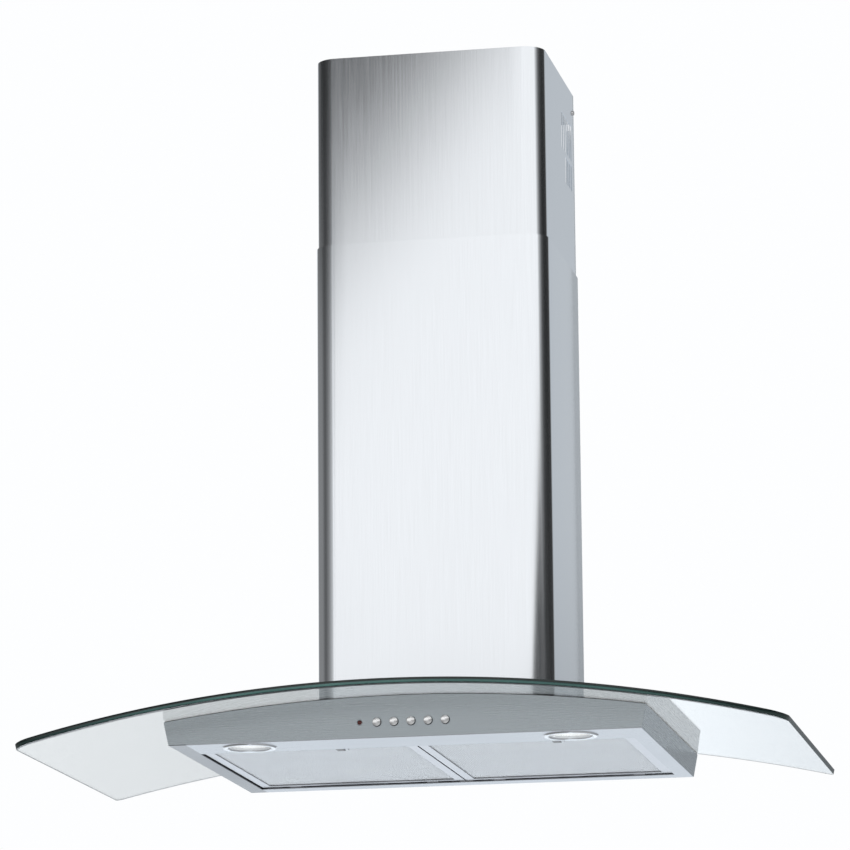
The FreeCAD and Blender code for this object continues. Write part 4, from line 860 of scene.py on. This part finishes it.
def make_buttons():
    """Push buttons, each turned about its own axis: a cap domed by crown * (r / radius) ** power, with a rounded
    shoulder, on a stem of half its radius. Behind its front the cap is dark plastic, painted shade for the shadow
    round the button."""
    for label in BUTTONS:
        node = "button_" + label
        start, radius, length = control_sizes(node)
        stem = radius / 2
        reach = np.linspace(0, radius - BUTTON_RIM, BUTTON_POINTS)
        dome = np.stack([reach, BUTTON_CROWN * (reach / radius) ** BUTTON_CROWN_POWER], axis=1)
        shoulder = rounded([dome[-1], (radius, BUTTON_CROWN), (radius, BUTTON_SHOULDER)], BUTTON_ROUNDING)
        rest = np.array([(radius, BUTTON_CAP), (stem, BUTTON_CAP), (stem, length), (0.0, length)])
        piece = lathe("cap_" + node, np.vstack([dome, shoulder[1:], rest]), start, BACK, "button_chrome",
                      label + "_button", (node,))
        mesh = piece.data
        # Painted shade: the cap's faces behind its bright front get black plastic, for the shadow round the button
        mesh.materials.append(MATERIALS["black_plastic"])
        middles = np.empty(len(mesh.polygons) * 3)
        mesh.polygons.foreach_get("center", middles)
        behind = middles.reshape(-1, 3)[:, 1] > start[1] + BUTTON_PAINTED_SHADE_DEPTH
        mesh.polygons.foreach_set("material_index", behind.astype(int))


def make_indicator():
    """Indicator lamp: a lens domed by dome * (r / radius) ** 2 in a chromed bezel."""
    start, radius, length = control_sizes("indicator_lamp")
    lens, bore = radius * INDICATOR_LENS, radius * INDICATOR_BORE
    reach = np.linspace(0, lens, INDICATOR_POINTS)
    dome = np.stack([reach, INDICATOR_DOME * (reach / radius) ** 2], axis=1)
    rest = np.array([(lens, INDICATOR_LENS_EDGE), (lens, length), (0.0, length)])
    lathe("indicator_lens", np.vstack([dome, rest]), start, BACK, "indicator_lens", "hood",
          ("indicator_lamp",), turns=48)
    bezel = rounded([(bore, length), (bore, INDICATOR_DOME), (radius * INDICATOR_LIP, INDICATOR_LIP_DEPTH),
                     (radius, INDICATOR_RIM_DEPTH), (radius, length), (bore, length)], INDICATOR_ROUNDING,
                    steps=4)
    lathe("indicator_bezel", bezel, start, BACK, "chrome_trim", "hood", turns=48)


def make_filter_mesh(label):
    """Expanded mesh: strands that run in zigzags, each row half a step behind the next so that they meet in
    lozenges; a strand is a flat strip carried along its zigzag, y = row +- swing / 2, z = layer +- wave / 2."""
    node = "filter_mesh_" + label
    low, high = span_of(node)
    x = np.arange(low[0] + MESH_ROOM, high[0] - MESH_ROOM, MESH_PITCH / 2)
    rows = np.arange(low[1] + MESH_ROOM, high[1] - MESH_ROOM, MESH_ROW)
    flip = (np.arange(len(x))[None] + np.arange(len(rows))[:, None]) % 2
    section = np.array(((-1, -1), (1, -1), (1, 1), (-1, 1))) * np.array((MESH_STRAND / 2, MESH_THICKNESS / 2))
    vertices, faces = [], []
    for height, shift in MESH_LAYERS:
        y = rows[:, None] + (flip - 0.5) * MESH_ROW * MESH_SWING + shift * MESH_ROW
        points = np.empty((len(rows), len(x), 4, 3))
        points[..., 0] = x[None, :, None]
        points[..., 1] = y[..., None] + section[None, None, :, 0]
        points[..., 2] = low[2] + height + section[None, None, :, 1] + (flip[..., None] - 0.5) * MESH_WAVE
        for row in points:
            faces.append(grid_faces(len(x), 4, wrap=True) + len(faces) * len(x) * 4)
            vertices.append(row.reshape(-1, 3))
    new_piece("expanded_mesh_" + label, np.vstack(vertices), np.vstack(faces), "filter_mesh", label + "_filter",
              (node,), smooth=False)


def make_screws(name, node, seats, body="hood"):
    """Pan-head screws with their heads at the seats, each (place of the head's outer face, outward direction):
    the head's height is rise * sqrt(1 - r ** 4) less a cross-shaped recess, and a plain shank runs on inwards."""
    edge = np.sin(np.linspace(0, math.pi / 2, SCREW_EDGE_POINTS)[1:])
    reach = np.concatenate([np.linspace(0, SCREW_FLAT, SCREW_FLAT_POINTS), SCREW_FLAT + (1 - SCREW_FLAT) * edge])
    angle = TAU * np.arange(SCREW_SPOKES) / SCREW_SPOKES
    across = reach[:, None] * np.cos(angle) * SCREW_HEAD
    up = reach[:, None] * np.sin(angle) * SCREW_HEAD
    arm = np.maximum(*((np.abs(along) < RECESS_REACH * SCREW_HEAD)
                       * np.clip(RECESS_WALL - np.abs(off) / (RECESS_HALF * SCREW_HEAD), 0, 1)
                       for along, off in ((up, across), (across, up))))
    rise = SCREW_RISE * np.sqrt(np.clip(1 - reach ** 4, 0, 1))
    level = rise[:, None] - RECESS_DEPTH * SCREW_RISE * arm
    vertices, faces = [], []
    for place, outward in seats:
        outward = np.asarray(outward, float)
        side = np.array((0.0, 0.0, 1.0))
        other = np.cross(outward, side)
        seat = np.asarray(place) - SCREW_RISE * outward
        head = seat + across[..., None] * side + up[..., None] * other + level[..., None] * outward
        spoke = np.cos(angle)[:, None] * side + np.sin(angle)[:, None] * other
        shank = [seat + radius * spoke - travel * outward
                 for radius, travel in ((SCREW_SHANK, 0), (SCREW_SHANK, SCREW_TAIL), (0, SCREW_TAIL))]
        points = np.concatenate([head, np.array(shank)])
        faces.append(grid_faces(*points.shape[:2], wrap=True) + sum(len(block) for block in vertices))
        vertices.append(points.reshape(-1, 3))
    piece = new_piece(name, np.vstack(vertices), np.vstack(faces), "shaft_steel", body, (node,))
    turn_outwards(piece, SCREW_SHARP)


def place_screws():
    """Seats of the small screws, read off the boxes of their groups."""
    sides = (-1, 1)
    low, high = span_of("bracket_screws")
    y, z = (low[1] + high[1]) / 2, (low[2] + high[2]) / 2
    seats = [((side * high[0], y, z), (side, 0, 0)) for side in sides]
    make_screws("screws_bracket", "bracket_screws", seats, "upper_chimney")
    low, high = span_of("cover_screws")
    y, levels = (low[1] + high[1]) / 2, (low[2] + SCREW_HEAD, high[2] - SCREW_HEAD)
    seats = [((side * high[0], y, z), (side, 0, 0)) for side in sides for z in levels]
    make_screws("screws_cover", "cover_screws", seats)
    low, high = span_of("chimney_screws")
    x, levels = high[0] - SCREW_HEAD, (low[2] + SCREW_HEAD, high[2] - SCREW_HEAD)
    seats = [((side * x, low[1], z), (0, -1, 0)) for side in sides for z in levels]
    make_screws("screws_chimney", "chimney_screws", seats)


# Light, floor and point of view

def panel_glow():
    """Light of the front panel: its field fades at the edges, and it is clear there and from behind."""
    material, tree = new_material("front_panel_glow")
    tree.nodes.clear()
    x, _, z = add(tree, "ShaderNodeSeparateXYZ", Vector=object_place(tree)).outputs
    lean = calc(tree, "MULTIPLY_ADD", x, PANEL_SLOPE, calc(tree, "ADD", z, PANEL_SLOPE_LEVEL))
    draw = calc(tree, "MULTIPLY_ADD", z, PANEL_DRAW, x)
    facing = tree.nodes.new("ShaderNodeNewGeometry").outputs["Backfacing"]
    field = product(tree, ramp(tree, x, *PANEL_LEFT_FADE), ramp(tree, x, *PANEL_RIGHT_FADE),
                    ramp(tree, z, *PANEL_FOOT_FADE), ramp(tree, lean, *PANEL_SLOPE_FADE),
                    ramp(tree, draw, *PANEL_DRAW_FADE), calc(tree, "SUBTRACT", 1.0, facing))
    glow = add(tree, "ShaderNodeEmission", Strength=PANEL_LEVEL)
    surface = mix_shaders(tree, field, tree.nodes.new("ShaderNodeBsdfTransparent"), glow)
    add(tree, "ShaderNodeOutputMaterial", Surface=surface)
    return material


def make_front_panel():
    """Tall soft panel before the hood, which only reflections see."""
    left, right = PANEL_X
    foot, top = PANEL_Z
    mesh = bpy.data.meshes.new("front_panel")
    mesh.from_pydata([(left, PANEL_Y, foot), (right, PANEL_Y, foot), (right, PANEL_Y, top), (left, PANEL_Y, top)],
                     [], [(3, 2, 1, 0)])
    mesh.materials.append(panel_glow())
    panel = put("front_panel", mesh)
    panel.visible_camera = False
    panel.visible_shadow = False
    panel.visible_transmission = False


def make_floor():
    """Pale flat floor, which only shows from above: rings of points, each a circle of growing radius. Metal and
    glass reflect the studio's ground in its place."""
    radius = np.linspace(0, FLOOR_RADIUS, FLOOR_RINGS)
    angle = TAU * np.arange(FLOOR_SPOKES) / FLOOR_SPOKES
    points = np.empty((len(radius), len(angle), 3))
    points[..., 0] = radius[:, None] * np.cos(angle)
    points[..., 1] = radius[:, None] * np.sin(angle)
    points[..., 2] = span_of("glass_canopy")[0][2] - FLOOR_DROP
    mesh = bpy.data.meshes.new("floor")
    mesh.from_pydata(points.reshape(-1, 3), [], grid_faces(*points.shape[:2], wrap=True)[:, ::-1].tolist())
    material, tree = new_material("floor_paint")
    shader = tree.nodes["Principled BSDF"]
    cloud = add(tree, "ShaderNodeTexNoise", Vector=object_place(tree), Scale=1.5, Detail=3.0)
    base = blend_colours(tree, cloud.outputs["Fac"], (0.90, 0.90, 0.90), (0.93, 0.93, 0.93))
    paint(tree, shader, base, 0.7)
    facing = tree.nodes.new("ShaderNodeNewGeometry").outputs["Backfacing"]
    surface = mix_shaders(tree, facing, shader, tree.nodes.new("ShaderNodeBsdfTransparent"))
    tree.links.new(surface, tree.nodes["Material Output"].inputs["Surface"])
    mesh.materials.append(material)
    floor = put("floor", mesh)
    floor.visible_glossy = False


def make_world():
    """Studio round the hood: white to the eye and through the glass, and to reflections a dim room with darker
    sides above the horizon and a light rear and ground."""
    world = bpy.data.worlds.new("studio")
    bpy.context.scene.world = world
    world.use_nodes = True
    tree = world.node_tree
    tree.nodes.clear()
    look = tree.nodes.new("ShaderNodeTexCoord").outputs["Generated"]
    x, y, z = add(tree, "ShaderNodeSeparateXYZ", Vector=look).outputs
    turn = calc(tree, "DEGREES", calc(tree, "ARCTAN2", x, product(tree, y, -1.0)))
    rise = calc(tree, "DEGREES", calc(tree, "ARCSINE", z))
    haze = product(tree, stops(tree, turn, LEFT_HAZE), ramp(tree, rise, *LEFT_HAZE_TOP))
    edge = product(tree, stops(tree, turn, LEFT_EDGE), ramp(tree, rise, *LEFT_EDGE_TOP))
    glow = product(tree, stops(tree, turn, RIGHT_GLOW), ramp(tree, rise, *RIGHT_GLOW_FOOT))
    side = largest(tree, stops(tree, turn, DARK_SIDE), haze, edge, glow)
    front = product(tree, ramp(tree, rise, *FRONT_RISE, GROUND_FRONT_LEVEL, ROOM_LEVEL),
                    ramp(tree, turn, *FRONT_LEFT_TURN, FRONT_LEFT_SHARE, 1.0))
    band = product(tree, ramp(tree, rise, *BAND_FOOT), ramp(tree, rise, *BAND_TOP))
    room = between(tree, band, front, side)
    rear = largest(tree, ramp(tree, turn, *REAR_RIGHT_TURN), ramp(tree, turn, *REAR_LEFT_TURN))
    rear_level = ramp(tree, rise, *REAR_RISE, REAR_LOW_LEVEL, REAR_HIGH_LEVEL)
    open_rear = largest(tree, ramp(tree, turn, *GROUND_RIGHT_TURN), ramp(tree, turn, *GROUND_LEFT_TURN))
    ground = between(tree, open_rear, GROUND_RIGHT_LEVEL, stops(tree, rise, GROUND_REAR))
    level = between(tree, rear, room, ramp(tree, rise, *REAR_GROUND_RISE, ground, rear_level))
    path = tree.nodes.new("ShaderNodeLightPath")
    direct = calc(tree, "LESS_THAN", path.outputs["Glossy Depth"], 0.5)
    seen = largest(tree, path.outputs["Is Camera Ray"], product(tree, path.outputs["Is Transmission Ray"], direct))
    tint = product(tree, rear, calc(tree, "SUBTRACT", 1.0, seen))
    sky = add(tree, "ShaderNodeBackground", Color=blend_colours(tree, tint, BACKDROP_COLOUR, REAR_COLOUR),
              Strength=between(tree, seen, level, BACKDROP_LEVEL))
    add(tree, "ShaderNodeOutputWorld", Surface=sky.outputs[0])


def make_overhead():
    """Soft square light over the hood that looks at a point and isn't seen itself."""
    data = bpy.data.lights.new("overhead", "AREA")
    data.size = OVERHEAD_SIZE
    data.energy = OVERHEAD_POWER
    light = put("overhead", data)
    light.location = OVERHEAD_PLACE
    back = np.array(OVERHEAD_PLACE) - np.array(OVERHEAD_AIM)
    light.rotation_euler = (math.acos(back[2] / np.linalg.norm(back)), 0, math.atan2(back[0], -back[1]))
    light.visible_camera = False
    light.visible_glossy = False
    light.visible_transmission = False


def make_camera():
    """Camera of the photograph: it looks up at the hood from the front right, with a slight roll."""
    back = np.array((math.sin(VIEW_AZIMUTH) * math.cos(VIEW_ELEVATION),
                     -math.cos(VIEW_AZIMUTH) * math.cos(VIEW_ELEVATION), math.sin(VIEW_ELEVATION)))
    right = np.array((math.cos(VIEW_AZIMUTH), math.sin(VIEW_AZIMUTH), 0.0))
    up = np.cross(back, right)
    matrix = np.eye(4)
    matrix[:3, 0] = right * math.cos(VIEW_ROLL) + up * math.sin(VIEW_ROLL)
    matrix[:3, 1] = up * math.cos(VIEW_ROLL) - right * math.sin(VIEW_ROLL)
    matrix[:3, 2] = back
    matrix[:3, 3] = VIEW_TARGET + back * VIEW_DISTANCE
    data = bpy.data.cameras.new("view")
    data.lens = VIEW_LENS
    data.sensor_width = VIEW_SENSOR
    data.clip_end = VIEW_REACH
    camera = put("view", data)
    camera.matrix_world = Matrix(matrix.tolist())
    bpy.context.scene.camera = camera


dress_nodes()
make_chimney("chimney_sleeve_upper", "chimney_upper", "upper_chimney", "steel_chimney_upper", True)
make_chimney("chimney_sleeve_lower", "chimney_lower", "hood", "steel_chimney_lower", False)
make_glass()
for label in ("left", "right"):
    make_lamp(label)
    make_filter_mesh(label)
make_buttons()
make_indicator()
place_screws()
make_floor()
make_world()
make_front_panel()
make_overhead()
make_camera()
bpy.context.scene.view_settings.view_transform = "Standard"
